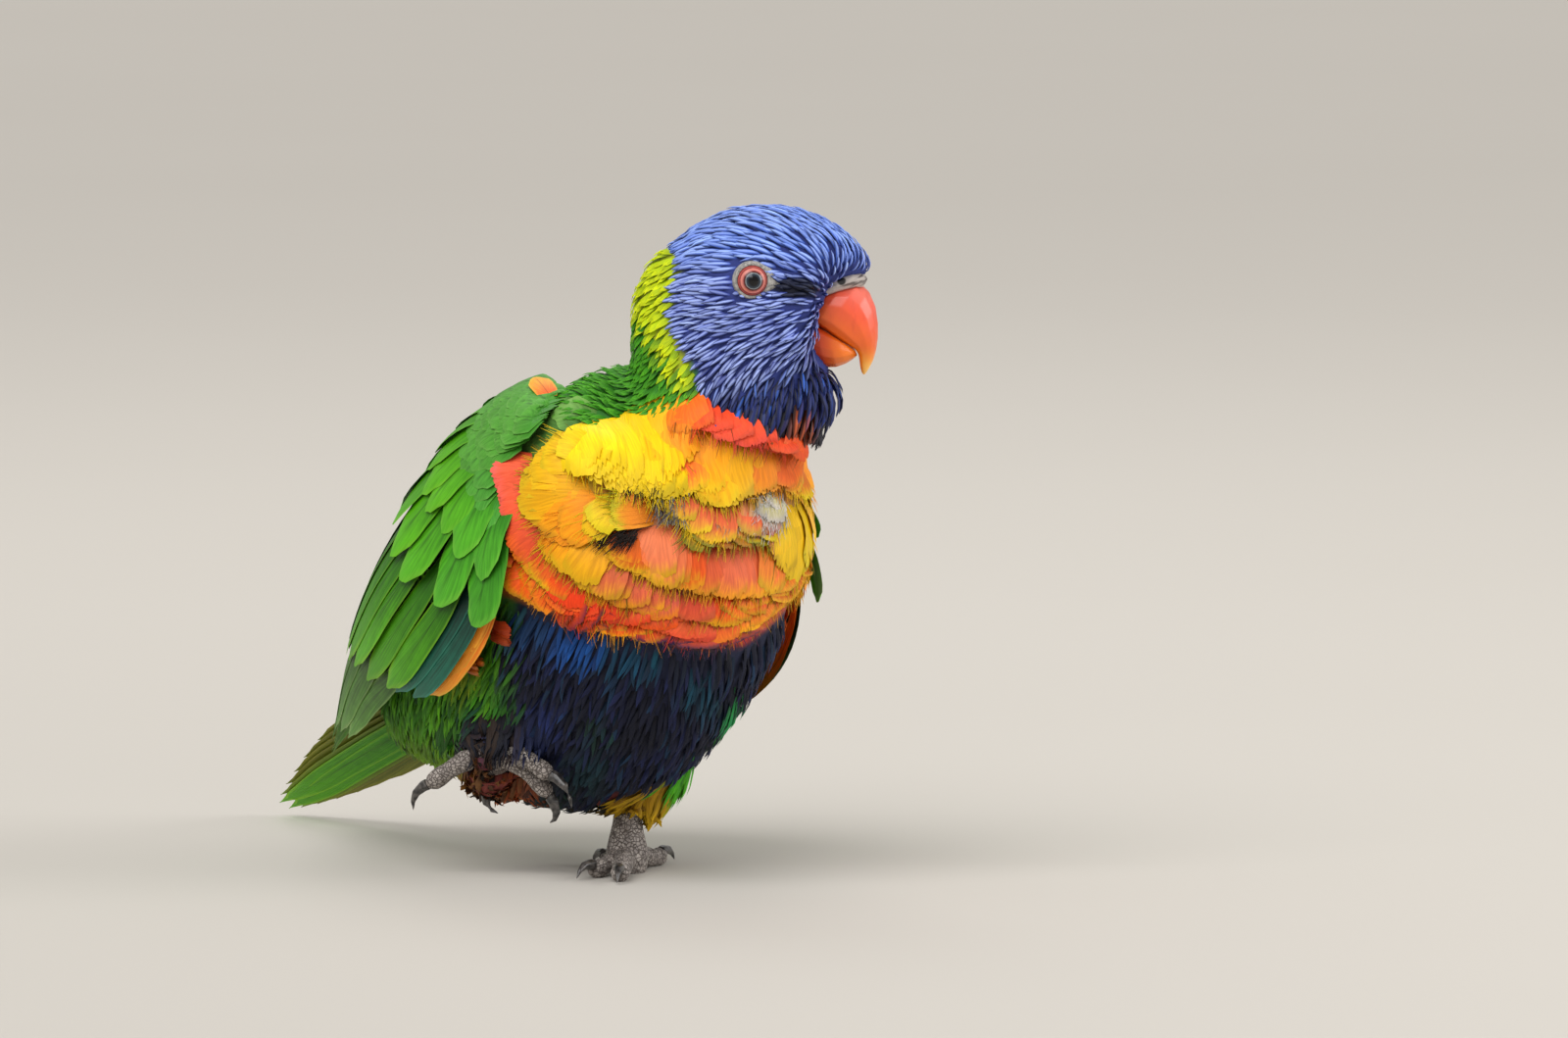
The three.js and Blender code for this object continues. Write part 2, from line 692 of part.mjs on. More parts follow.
const STANDING_TOES = [
  { heading: 84, length: 12, bones: 2, radius: 2.3, arch: 0.7 },
  { heading: 207, length: 15.5, bones: 2, radius: 2.5, arch: 1.1 },
  { heading: 234, length: 22, bones: 3, radius: 2.6, arch: 1.2 },
  { heading: 32, length: 18, bones: 3, radius: 2.5, arch: 1 },
];

// The raised foot's toes: path and claw path as forward, left, height
const RAISED_PALM = [-14, -25.4, 28.6];
const RAISED_TOES = [
  {
    path: [RAISED_PALM, [-17.5, -24.6, 25], [-20.5, -25, 20.6]],
    clawPath: [[-20, -24.8, 22], [-21.4, -25, 18], [-20.4, -24.4, 15.4], [-17.8, -23.6, 14.4]],
    bones: 2,
    radius: 2.3,
  },
  {
    path: [RAISED_PALM, [-8, -21.6, 24.6], [-4.6, -17.8, 19.4]],
    clawPath: [[-5.2, -18.4, 20.6], [-4, -16.8, 17], [-5, -16, 14.2], [-8, -16, 12.6]],
    bones: 2,
    radius: 2.4,
  },
  {
    path: [RAISED_PALM, [-6, -24, 28.4], [0, -20.4, 24.4]],
    clawPath: [[-1, -20.8, 25], [2.6, -19.5, 23.6], [5, -18.6, 20.6], [5.6, -18.2, 17.3]],
    bones: 3,
    radius: 2.5,
  },
  {
    path: [RAISED_PALM, [-21, -30.6, 26.6], [-29.5, -35.3, 20.6]],
    clawPath: [[-28, -34.6, 21.6], [-31.8, -36.2, 19.6], [-33.6, -36.9, 17.2], [-33.6, -36.9, 14.4]],
    bones: 3,
    radius: 2.6,
  },
];

// Feathered thighs: forward, left, height and radius
const THIGH_LEFT = [
  [-11, 13.5, 50, 7],
  [-10, 12.5, 37, 12.8],
  [-9, 10.5, 26, 12.4],
  [-9, 8, 17.5, 9.6],
  [-9, 6.2, 11.8, 6],
];
const THIGH_RIGHT = [
  [-12, -17, 46, 7],
  [-18, -19.5, 34, 11.6],
  [-23.5, -21, 24.5, 10],
  [-26, -22, 17, 6.4],
];
const TARSUS_LEFT = [
  [-9.5, 6.4, 20, 3.2],
  [-9.2, 5.8, 12, 3.4],
  [-9, 5.5, 8, 4.2],
  [-9, 5.5, 4.2, 5],
  [-9, 5.5, 1, 4.6],
  [-9, 5.5, -1.5, 3.6],
];
const TARSUS_RIGHT = [
  [-27, -21, 21, 3],
  [-21, -23.6, 24.6, 3.2],
  [-15.6, -25.2, 28, 4],
  [-11.6, -25.8, 30, 2.6],
];

const onFloor = (solid) => trim(solid, UP, 0);

const tarsusLeft = (grow = 0) => rod(TARSUS_LEFT, 9, 14, grow);
const tarsusRight = (grow = 0) => rod(TARSUS_RIGHT, 7, 12, grow);

// The raised foot with clearance all round, to cut its bed in the plumage
const footBed = RAISED_TOES.reduce(
  (bed, shape) => bed.add(toe(shape, GAP)).add(claw(shape, GAP)),
  tarsusRight(GAP),
);
addNode("torso", lower.subtract(mask(GAP)).subtract(footBed), "orange");

const torsoGrown = torso(GAP);
const bodyGrown = torsoGrown.add(neck(GAP));
const tailGrown = tail(GAP);
addNode("tail", tail().subtract(torsoGrown), "green");
addNode("wing_left", wing(WING_LEFT, 1).subtract(bodyGrown).subtract(tailGrown), "green");
addNode("wing_right", wing(WING_RIGHT, -1).subtract(bodyGrown).subtract(tailGrown), "green");

addNode("thigh_left", rod(THIGH_LEFT, 8, 18).subtract(torsoGrown).subtract(tarsusLeft(GAP)), "orange");
addNode("thigh_right", rod(THIGH_RIGHT, 7, 18).subtract(torsoGrown).subtract(footBed), "orange");
addNode("tarsus_left", onFloor(tarsusLeft()).subtract(torsoGrown), "skin");
addNode("tarsus_right", tarsusRight(), "skin");

function addFoot(side, toes, tarsusGrown, finishShape) {
  toes.forEach((shape, n) => {
    let bone = toe(shape).subtract(tarsusGrown);
    for (const other of toes.slice(0, n)) {
      bone = bone.subtract(toe(other, GAP));
    }
    let nail = claw(shape).subtract(tarsusGrown);
    for (const other of toes) {
      nail = nail.subtract(toe(other, GAP));
    }
    addNode(`toe_${side}_${n + 1}`, finishShape(bone), "skin");
    addNode(`claw_${side}_${n + 1}`, finishShape(nail), "claw");
  });
}

addFoot("left", STANDING_TOES.map(standingToe), tarsusLeft(GAP), onFloor);
addFoot("right", RAISED_TOES, tarsusRight(GAP), (shape) => shape);

export default root;
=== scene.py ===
# A life-size rainbow lorikeet that stands on its left foot, with its right foot drawn up.
# Sizes are in millimetres and turned into metres by MM. The row frame has +Z up, the body faces -Y,
# and the bird's left side is +X.
import math
import bmesh
import bpy
import numpy as np
from mathutils import Matrix, Vector
from mathutils.bvhtree import BVHTree


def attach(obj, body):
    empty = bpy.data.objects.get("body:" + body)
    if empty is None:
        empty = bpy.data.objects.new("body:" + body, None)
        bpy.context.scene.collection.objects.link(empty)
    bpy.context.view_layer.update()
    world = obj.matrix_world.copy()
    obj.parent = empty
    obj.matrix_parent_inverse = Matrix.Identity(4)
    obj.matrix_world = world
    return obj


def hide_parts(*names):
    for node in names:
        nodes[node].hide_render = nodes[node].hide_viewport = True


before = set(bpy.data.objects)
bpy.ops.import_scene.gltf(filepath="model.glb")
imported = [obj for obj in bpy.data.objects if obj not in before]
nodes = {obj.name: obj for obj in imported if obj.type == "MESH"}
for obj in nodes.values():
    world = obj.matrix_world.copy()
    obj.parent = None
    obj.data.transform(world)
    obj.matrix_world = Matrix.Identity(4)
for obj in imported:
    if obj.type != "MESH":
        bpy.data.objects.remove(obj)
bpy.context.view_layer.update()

# The view is from the bird's front right and a little above, through a long lens.
# VIEW_TARGET is the point that the middle of the picture shows.
MM = 0.001
VIEW_TARGET = Vector((34.3, -13.1, 80.8)) * MM
VIEW_AWAY = Vector((0.528, 0.845, -0.0872)).normalized()
VIEW_DISTANCE = 4.0
LENS = 400
SENSOR = 36

camera = bpy.data.objects.new("camera", bpy.data.cameras.new("camera"))
bpy.context.scene.collection.objects.link(camera)
camera.data.lens = LENS
camera.data.sensor_width = SENSOR
camera.data.clip_end = 100
camera.location = VIEW_TARGET - VIEW_AWAY * VIEW_DISTANCE
camera.rotation_euler = VIEW_AWAY.to_track_quat("-Z", "Y").to_euler()
bpy.context.scene.camera = camera
bpy.context.scene.view_settings.view_transform = "Standard"


# The floor is a plain pale sheet of studio paper that the bird stands on, wide enough to fill every view.
# It isn't part of the model.
def paint(code):
    """A linear colour from a hexadecimal one."""
    parts = [int(code[n : n + 2], 16) / 255 for n in (0, 2, 4)]
    return [c / 12.92 if c <= 0.04045 else ((c + 0.055) / 1.055) ** 2.4 for c in parts] + [1.0]


class Wire:
    """A socket of a material. Arithmetic on it adds Math nodes, and node() adds any other node."""

    def __init__(self, tree, socket=None):
        self.tree = tree
        self.socket = socket

    def node(self, kind, settings=(), inputs=(), output=0):
        made = self.tree.nodes.new("ShaderNode" + kind)
        for name, value in dict(settings).items():
            if name == "stops":
                ramp = made.color_ramp
                while len(ramp.elements) < len(value):
                    ramp.elements.new(0.5)
                for element, (position, colour) in zip(ramp.elements, value):
                    element.position = position
                    element.color = paint(colour)
            else:
                setattr(made, name, value)
        for key, value in dict(inputs).items():
            if isinstance(value, Wire):
                self.tree.links.new(value.socket, made.inputs[key])
            else:
                made.inputs[key].default_value = value
        return Wire(self.tree, made.outputs[output])

    def math(self, operation, *values):
        return self.node("Math", {"operation": operation}, enumerate(values))

    def __add__(self, other):
        return self.math("ADD", self, other)

    __radd__ = __add__

    def __sub__(self, other):
        return self.math("SUBTRACT", self, other)

    def __rsub__(self, other):
        return self.math("SUBTRACT", other, self)

    def __mul__(self, other):
        return self.math("MULTIPLY", self, other)

    __rmul__ = __mul__

    def __truediv__(self, other):
        return self.math("DIVIDE", self, other)

    def __abs__(self):
        return self.math("ABSOLUTE", self)

    def fade(self, start, end):
        """0 where the value is at start, 1 at end, with a soft change between."""
        ends = {"From Min": start, "From Max": end}
        return self.node("MapRange", {"interpolation_type": "SMOOTHSTEP"}, {"Value": self, **ends})

    def mixed(self, first, second):
        """first where the value is 0 and second where it is 1. Each is a wire or a colour's code."""
        first, second = (paint(c) if isinstance(c, str) else c for c in (first, second))
        return self.node("Mix", {"data_type": "RGBA"}, {0: self, 6: first, 7: second}, 2)

    def lit(self, colour):
        """The colour made darker by the value."""
        return self.node("VectorMath", {"operation": "SCALE"}, {0: colour, "Scale": self})

    def dotted(self, direction):
        return self.node("VectorMath", {"operation": "DOT_PRODUCT"}, {0: self, 1: direction}, 1)

    def less(self, point):
        return self.node("VectorMath", {"operation": "SUBTRACT"}, {0: self, 1: point})

    def stretched(self, scale):
        return self.node("VectorMath", {"operation": "MULTIPLY"}, {0: self, 1: scale})

    def length(self):
        return self.node("VectorMath", {"operation": "LENGTH"}, {0: self}, 1)

    def noise(self, scale, detail=2.0):
        return self.node("TexNoise", {}, {"Vector": self, "Scale": scale, "Detail": detail})

    def bump(self, strength, distance):
        """The value as a height that the light shows."""
        return self.node("Bump", {}, {"Height": self, "Strength": strength, "Distance": distance})


def new_material(name):
    """An empty material, with its Object coordinates as the wire to build it from."""
    material = bpy.data.materials.new(name)
    material.use_nodes = True
    return material, Wire(material.node_tree).node("TexCoord", output="Object")


def finish_material(material, colour, roughness, normal=None, **plain):
    """Joins colour, roughness and bump to a material's shader. plain holds fixed values by socket name."""
    shader = material.node_tree.nodes["Principled BSDF"]
    for key, value in {"Base Color": colour, "Roughness": roughness, "Normal": normal}.items():
        if isinstance(value, Wire):
            material.node_tree.links.new(value.socket, shader.inputs[key])
        elif value is not None:
            shader.inputs[key].default_value = value
    for key, value in plain.items():
        shader.inputs[key.replace("_", " ")].default_value = value
    return material


def mesh_of(form, name):
    """The bmesh as a mesh. The bmesh is used up."""
    mesh = bpy.data.meshes.new(name)
    form.to_mesh(mesh)
    form.free()
    return mesh


def add_piece(name, mesh, material, slot_name=None, *replaced):
    """A piece made of the mesh. One of the bird's own, given a slot name, rides on its body."""
    piece = bpy.data.objects.new(name, mesh)
    bpy.context.scene.collection.objects.link(piece)
    mesh.materials.append(material)
    if slot_name:
        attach(piece, "root")
    if replaced:
        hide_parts(*replaced)
    return piece


FLOOR_HALF = 15
material, spot = new_material("studio_paper")
finish_material(material, (spot.noise(3) * 0.2).mixed("cbc6be", "bfb9b0"), 0.9)
form = bmesh.new()
bmesh.ops.create_grid(form, x_segments=4, y_segments=4, size=FLOOR_HALF)
add_piece("floor", mesh_of(form, "floor"), material)


# Soft studio light: a broad even light from the picture's upper left, as from a large north window, a pale
# room all round, and soft boxes near the bird. They put highlights on bill, eyes and claws and lighten its
# left side. Each box has its place, in metres, its size and its power.
window = bpy.data.objects.new("window_light", bpy.data.lights.new("window_light", "SUN"))
bpy.context.scene.collection.objects.link(window)
window.data.energy = 2.1
window.data.angle = math.radians(50)
window.rotation_euler = Vector((0.75, 0.45, -0.95)).to_track_quat("-Z", "Y").to_euler()
SOFT_BOXES = {
    "front_box": ((-0.9, -1.5, 1.1), 0.6, 3.2), "crown_box": ((0.5, 0.9, 1.2), 0.7, 3.6),
    "side_box": ((1.0, -0.9, 0.5), 0.8, 9.0),
}
for name, (where, size, power) in SOFT_BOXES.items():
    lamp = bpy.data.objects.new(name, bpy.data.lights.new(name, "AREA"))
    bpy.context.scene.collection.objects.link(lamp)
    lamp.data.size = size
    lamp.data.energy = power
    lamp.location = where
    lamp.rotation_euler = (VIEW_TARGET - Vector(where)).to_track_quat("-Z", "Y").to_euler()
world = bpy.data.worlds.new("studio")
bpy.context.scene.world = world
world.use_nodes = True
world.node_tree.nodes["Background"].inputs["Color"].default_value = paint("f1eeea")
world.node_tree.nodes["Background"].inputs["Strength"].default_value = 0.5


# The wings are flesh and bone under their feathers, and the skin needs their shape. Stations run from the
# shoulder to the tip. Each has the lower edge, the middle and the upper edge of the wing's outer face, as
# forward, left and height.
WING_RIGHT = np.array(
    [
        [[15, -33, 100], [11, -32, 106], [5, -22, 112]],
        [[10, -39, 82], [-9.2, -34, 101.6], [-14, -16, 113.6]],
        [[7, -41, 61], [-26.5, -38.6, 87], [-30, -10, 104.4]],
        [[-20, -39, 42], [-44.4, -39.8, 69.4], [-50, -5, 86.6]],
        [[-55, -30.5, 33], [-70, -32, 48.5], [-74, -3, 62.5]],
        [[-90, -19.5, 21.8], [-93, -21, 32], [-94, -5, 39]],
        [[-118, -10.5, 15], [-119, -10, 16.6], [-119, -7.6, 18.4]],
    ],
    float,
)
WING_LEFT = np.array(
    [
        [[15, 33, 100], [11, 32, 106], [5, 22, 112]],
        [[15, 40, 79], [-7, 38, 102], [-14, 16, 114.5]],
        [[8, 43, 53], [-20, 44, 84], [-30, 10, 105.5]],
        [[-11, 39.5, 35.5], [-42, 43.5, 68.5], [-50, 5, 88]],
        [[-50, 31, 29], [-70, 33.5, 48.5], [-74, 3, 63.5]],
        [[-84, 19, 25], [-94, 21, 35], [-95, 5, 43]],
        [[-116, 12, 22], [-117, 11, 23.5], [-117, 7, 25]],
    ],
    float,
)
# The middle of the standing foot, forward and left
STAND = (-9, 5.5)
# The share of a wing over which its face's slope is taken
NUDGE = 0.02


def place(spot):
    """Points of the row frame, in metres, from distances forward, left and up in millimetres."""
    forward, left, height = np.moveaxis(np.asarray(spot, float), -1, 0)
    return np.stack([left - STAND[1], STAND[0] - forward, height], -1) * MM


def along(stations, t):
    """A smooth value at each t, from 0 to 1, along a list of stations."""
    last = len(stations) - 1
    stretch = np.clip(t, 0, 1) * last
    i = np.minimum(stretch.astype(int), last - 1)
    k = (stretch - i).reshape(i.shape + (1,) * (stations.ndim - 1))
    here, after = stations[i], stations[i + 1]
    slope_in = (after - stations[np.maximum(i - 1, 0)]) / 2
    slope_out = (stations[np.minimum(i + 2, last)] - here) / 2
    bend = 2 * (here - after) + slope_in + slope_out
    return here + k * (slope_in + k * (3 * (after - here) - 2 * slope_in - slope_out + k * bend))


def unit(vectors):
    return vectors / np.maximum(np.linalg.norm(vectors, axis=-1, keepdims=True), 1e-9)


def wing_point(stations, a, t):
    """Points on a wing's outer face. a runs from shoulder to tip, and t from the lower edge up."""
    low, middle, high = np.moveaxis(along(stations, a), -2, 0)
    control = 2 * middle - (low + high) / 2
    t = t[..., None]
    return place((1 - t) ** 2 * low + 2 * t * (1 - t) * control + t**2 * high)


def wing_face(stations, hand, a, t):
    """Points on a wing's outer face and their normals. hand is 1 for the left wing and -1 for the right."""
    p, q = np.clip(a, NUDGE, 1 - NUDGE), np.clip(t, NUDGE, 1 - NUDGE)
    down = wing_point(stations, p + NUDGE, q) - wing_point(stations, p - NUDGE, q)
    up = wing_point(stations, p, q + NUDGE) - wing_point(stations, p, q - NUDGE)
    return wing_point(stations, a, t), unit(np.cross(down, up)) * hand


# The skin is one closed form for head, neck, body, thighs and the flesh of both wings. It lies inside the
# plumage by the depth of the coat, and it has the markings of the feathers over it, darkened by painted
# shade.
FLESH = ["head", "neck", "torso", "thigh_left", "thigh_right"]
BARE_FACE = ["upper_bill", "lower_bill", "cere"]
UNDER = BARE_FACE + ["eye_left", "eye_right"]
SKIN_VOXEL = 1.2
HEAD_DEPTH, BODY_DEPTH = 1.1, 2.4
# Inside the head behind the bill, forward, side and height: the skin under the bill is drawn in towards it
BILL_CORE = (38, 0, 131)
# How far a wing's flesh reaches along it and up from its lower edge, its depth under the face and thickness
WING_CORE = {"end": 0.72, "low": 0.14, "high": 0.97, "sink": 3.2, "thick": 2.6}
HEAD_ORIGIN = np.array([-6.2 - STAND[1], -9.9 + STAND[0], 1.5])
HEAD_FORWARD = np.array([0.848, -0.530, 0])
HEAD_SIDE = np.array([0.530, 0.848, 0])
HEAD_AXES = np.stack([HEAD_FORWARD, HEAD_SIDE, [0, 0, 1]])
ACROSS, UPWARD = np.array([0.848, -0.53, 0]), np.array([0.0462, 0.0739, 0.9962])
AWAY = np.cross(UPWARD, ACROSS)
# How far behind the sole, as seen, the middle of the breast is, and from how far off, in metres, it is seen
SEEN_DEPTH = -32
SEEN_FROM = 0.4


def head_point(forward, side, height):
    return (HEAD_ORIGIN + np.array([forward, side, height]) @ HEAD_AXES) * MM


def head_frame(points):
    """Forward along the bill, to the bird's left, and up, in millimetres."""
    return np.moveaxis((points / MM - HEAD_ORIGIN) @ HEAD_AXES.T, -1, 0)


def body_frame(points):
    """Forward, to the bird's left, and up, in millimetres."""
    x, y, z = np.moveaxis(points / MM, -1, 0)
    return STAND[0] - y, x + STAND[1], z


def picture_frame(points):
    """Across and up, in millimetres from the sole, as seen from the bird's front right."""
    return points @ ACROSS / MM, points @ UPWARD / MM


def joined(meshes):
    form = bmesh.new()
    for mesh in meshes:
        form.from_mesh(mesh)
    return form


def joined_copy(names, extra=()):
    """One bmesh of the named CAD nodes' meshes, with their doubled vertices merged."""
    form = joined([nodes[name].data for name in names] + list(extra))
    bmesh.ops.remove_doubles(form, verts=form.verts, dist=0.01 * MM)
    return form


def tree_of(form):
    """A search tree of the bmesh's faces. The bmesh is used up."""
    tree = BVHTree.FromBMesh(form)
    form.free()
    return tree


def remeshed(form, name, voxel, rounds):
    """The bmesh as one even closed mesh, smoothed."""
    mesh = mesh_of(form, name)
    piece = bpy.data.objects.new(name, mesh)
    bpy.context.scene.collection.objects.link(piece)
    remesh = piece.modifiers.new("remesh", "REMESH")
    remesh.mode = "VOXEL"
    remesh.voxel_size = voxel * MM
    smooth = piece.modifiers.new("smooth", "SMOOTH")
    smooth.iterations = rounds
    shown = piece.evaluated_get(bpy.context.evaluated_depsgraph_get())
    made = bpy.data.meshes.new_from_object(shown)
    bpy.data.objects.remove(piece)
    bpy.data.meshes.remove(mesh)
    made.name = name
    made.shade_smooth()
    return made


def coordinates(mesh, normals=False):
    values = np.empty(len(mesh.vertices) * 3)
    mesh.vertices.foreach_get("normal" if normals else "co", values)
    return values.reshape(-1, 3)


def smoothstep(value, start, end):
    share = np.clip((value - start) / (end - start), 0, 1)
    return share * share * (3 - 2 * share)


def wing_core(stations, hand):
    """The flesh of a wing as a plate under its outer face."""
    form = bmesh.new()
    bmesh.ops.create_grid(form, x_segments=24, y_segments=12, size=0.5)
    spots = np.array([vert.co[:2] for vert in form.verts]) + 0.5
    a = spots[:, 0] * WING_CORE["end"]
    t = WING_CORE["low"] + (WING_CORE["high"] - WING_CORE["low"]) * spots[:, 1]
    points, normals = wing_face(stations, hand, a, t)
    points -= normals * (WING_CORE["sink"] * MM)
    rim = 1 - (2 * spots - 1) ** 8
    half = WING_CORE["thick"] / 2 * MM * (0.25 + 0.75 * rim[:, 0] * rim[:, 1])
    for vert, point in zip(form.verts, points):
        vert.co = point
    made = bmesh.ops.duplicate(form, geom=list(form.faces) + list(form.verts) + list(form.edges))
    lower = [item for item in made["geom"] if isinstance(item, bmesh.types.BMVert)]
    upper = [vert for vert in form.verts if vert not in set(lower)]
    for side, verts in ((1, upper), (-1, lower)):
        for vert, normal, distance in zip(verts, normals, half):
            vert.co += Vector(normal * distance * side)
    edges = [edge for edge in form.edges if edge.is_boundary]
    bmesh.ops.bridge_loops(form, edges=edges)
    bmesh.ops.recalc_face_normals(form, faces=form.faces)
    return mesh_of(form, "wing_core")


cores = [wing_core(WING_RIGHT, -1), wing_core(WING_LEFT, 1)]
skin_mesh = remeshed(joined_copy(FLESH + UNDER, cores), "skin", SKIN_VOXEL, 14)
points = coordinates(skin_mesh)
on_head = smoothstep(head_frame(points)[2], 112, 124)
depth = HEAD_DEPTH * on_head + BODY_DEPTH * (1 - on_head)
points -= coordinates(skin_mesh, True) * depth[:, None] * MM
bill_tree, head_tree = (tree_of(joined_copy(names)) for names in (BARE_FACE, ["head"]))
nearer = [head_tree.find_nearest(point)[3] - bill_tree.find_nearest(point)[3] for point in points.tolist()]
drawn_in = 0.5 * smoothstep(np.array(nearer) / MM, -0.4, 1.2)[:, None]
points = points * (1 - drawn_in) + head_point(*BILL_CORE) * drawn_in
skin_mesh.vertices.foreach_set("co", points.ravel())
skin_mesh.update()


class Ground:
    """A mesh that feathers grow from: its nearest points, and its smooth normals."""

    def __init__(self, mesh):
        mesh.calc_loop_triangles()
        self.points = coordinates(mesh)
        self.corners = np.empty(len(mesh.loop_triangles) * 3, int)
        mesh.loop_triangles.foreach_get("vertices", self.corners)
        self.corners = self.corners.reshape(-1, 3)
        self.normals = unit(coordinates(mesh, True)[self.corners].mean(1))
        self.tree = BVHTree.FromPolygons(self.points.tolist(), self.corners.tolist())

    def seen(self, across, up):
        """The points that the picture shows at places across and up, in millimetres."""
        spots = (np.outer(across, ACROSS) + np.outer(up, UPWARD) + AWAY * SEEN_DEPTH) * MM
        hits = [self.tree.ray_cast(spot - AWAY * SEEN_FROM, AWAY)[0] for spot in spots]
        return np.array([spot if hit is None else hit for spot, hit in zip(spots, hits)])

    def nearest(self, points):
        """The nearest points of the mesh, with their normals."""
        found = [self.tree.find_nearest(point) for point in points.reshape(-1, 3).tolist()]
        places = np.array([hit[0] for hit in found]).reshape(points.shape)
        normals = self.normals[[hit[2] for hit in found]].reshape(points.shape)
        return places, normals

    def scatter(self, wanted, spacing, rng):
        """Points at about spacing, in millimetres, from each other, where wanted(points, normals) holds."""
        a, b, c = np.moveaxis(self.points[self.corners], 1, 0)
        areas = np.linalg.norm(np.cross(b - a, c - a), axis=1) / 2
        inside = wanted((a + b + c) / 3, self.normals)
        areas = np.where(inside, areas, 0)
        tries = int(9 * areas.sum() / (spacing * MM) ** 2)
        picked = rng.choice(len(areas), tries, p=areas / areas.sum())
        u, v = rng.random((2, tries, 1))
        u, v = np.where(u + v > 1, 1 - u, u), np.where(u + v > 1, 1 - v, v)
        spots = a[picked] + u * (b - a)[picked] + v * (c - a)[picked]
        cells = np.floor(spots / (spacing * MM)).astype(int)
        kept, chosen = {}, []
        around = [(i, j, k) for i in (-1, 0, 1) for j in (-1, 0, 1) for k in (-1, 0, 1)]
        limit = (spacing * MM) ** 2
        for n, (cell, spot) in enumerate(zip(map(tuple, cells.tolist()), spots.tolist())):
            beside = [(cell[0] + i, cell[1] + j, cell[2] + k) for i, j, k in around]
            near = (other for box in beside for other in kept.get(box, ()))
            if all(sum((p - q) ** 2 for p, q in zip(spot, other)) > limit for other in near):
                kept.setdefault(cell, []).append(spot)
                chosen.append(n)
        return spots[chosen], self.normals[picked[chosen]]


ground = Ground(skin_mesh)


# Markings: where on the bird each colour lies, for the skin and the feathers alike. The head is blue as far
# back as a rounded border, then comes the lime collar, and the neck, back and flanks are green. The breast's
# borders and its patches are given across and up as seen from the front right.
MASK_EDGE = [(99.3, 46), (101, 38), (102.5, 31), (104, 22.5), (110, 18.5), (117.5, 16), (122, 12.5),
             (130, 10.5), (139, 12.5), (148.5, 11)]
# The neck is above this plane: shares of forward and left, and their least sum with the height
COLLAR_PLANE = (0.35, 0.1, 111)
# The lime collar is above a slanting line: its height, its slope and where forward it has that height
COLLAR_EDGE = (129.7, 1.47, 0.6)
BREAST_TOP = [(-30, 90), (-21, 93.5), (-12, 98), (-4, 101.5), (2, 106), (14, 107.5), (27, 101), (36, 98),
              (45, 98)]
BREAST_FOOT = [(-32, 66), (-28, 64), (-17, 60), (-2, 56), (14, 52), (27, 52.5), (33, 57), (44, 68)]
BREAST_BACK = -16
YELLOW, GOLD, ORANGE = "ffd400", "fdae06", "fb8a0c"
EMBER, RED, CORAL = "f56412", "ee3f1c", "ea5545"
# The dark colour of the gap is painted shade in a parting of the breast feathers.
DOWN, GAP_SHADE = "b9b0a6", "3a2c26"
BREAST_PATCHES = [
    (-26, 90, CORAL), (-25, 80, CORAL), (-21, 72, EMBER), (-28, 70, ORANGE), (-16, 90, GOLD), (-14, 82, GOLD),
    (-9, 92, YELLOW), (0, 97, YELLOW), (2, 106, GOLD), (9, 103, ORANGE), (17, 104, RED), (26, 99, RED),
    (36, 96, EMBER), (13, 95, YELLOW), (22, 92, GOLD), (30, 94, ORANGE), (38, 89, GOLD), (4, 88, YELLOW),
    (-5, 84, GOLD), (1, 79, GAP_SHADE), (8, 83, ORANGE), (11, 80, DOWN), (18, 81, CORAL), (26, 81, CORAL),
    (33, 82, DOWN), (39, 79, YELLOW), (18, 76, YELLOW), (30, 75, GOLD), (36, 73, YELLOW), (-11, 74, GOLD),
    (-9, 66, YELLOW), (-17, 66, ORANGE), (1, 71, EMBER), (0, 65, CORAL), (10, 71, GOLD), (21, 70, CORAL),
    (12, 64, GOLD), (27, 64, GOLD), (36, 65, ORANGE), (42, 68, ORANGE), (-20, 60, ORANGE), (-9, 59, RED),
    (2, 57, RED), (14, 55, EMBER), (27, 56, RED), (36, 60, EMBER),
]
# The middle of either leg's feathered part
THIGHS = [(-9, 8, 18), (-24, -21, 22)]
# The middle colour here, dark navy, is painted shade for the skin under the plumage.
BLUE, SHADE_UNDER_COAT, LIME = "34459a", "141a3e", "cfe000"
NECK_GREEN, MANTLE, LEAF = "3f9612", "5c9440", "3f8f0c"
NAVY, OLIVE, RUST = "121a38", "8f9a10", "c8551a"


def blend(first, second, share):
    """first where share is 0 and second where it is 1. Each is a colour, its code or a list of colours."""
    first, second = (paint(c) if isinstance(c, str) else c for c in (first, second))
    return np.asarray(first) * (1 - share[:, None]) + np.asarray(second) * share[:, None]


def mask_share(points):
    """How far inside the blue of the head points are: 1 inside and 0 outside."""
    forward, _, height = head_frame(points)
    border = np.interp(height, *zip(*MASK_EDGE))
    return smoothstep(forward - border, -1.2, 1.2) * neck_share(points)


def lore_share(points):
    """Nearness to the black patch between the eye and the bill."""
    forward, _, height = head_frame(points)
    away = np.hypot((forward - 38.4) / 5.6, (height - 135.8 + 0.1 * (forward - 38)) / 2.3)
    return smoothstep(away, 1.25, 0.75)


def neck_share(points):
    forward, left, height = body_frame(points)
    above = COLLAR_PLANE[0] * forward + COLLAR_PLANE[1] * left + height - COLLAR_PLANE[2]
    return smoothstep(above, -1.5, 1.5)


def lime_share(points):
    forward, _, height = head_frame(points)
    above = height - COLLAR_EDGE[0] + COLLAR_EDGE[1] * (forward - COLLAR_EDGE[2])
    return smoothstep(above, -3, 2) * smoothstep(forward, 16, 13)


def breast_share(points):
    across, up = picture_frame(points)
    forward, _, _ = body_frame(points)
    top = np.interp(across, *zip(*BREAST_TOP))
    foot = np.interp(across, *zip(*BREAST_FOOT))
    inside = np.minimum(np.minimum(top - up, up - foot), forward - BREAST_BACK)
    return smoothstep(inside, -1, 1)


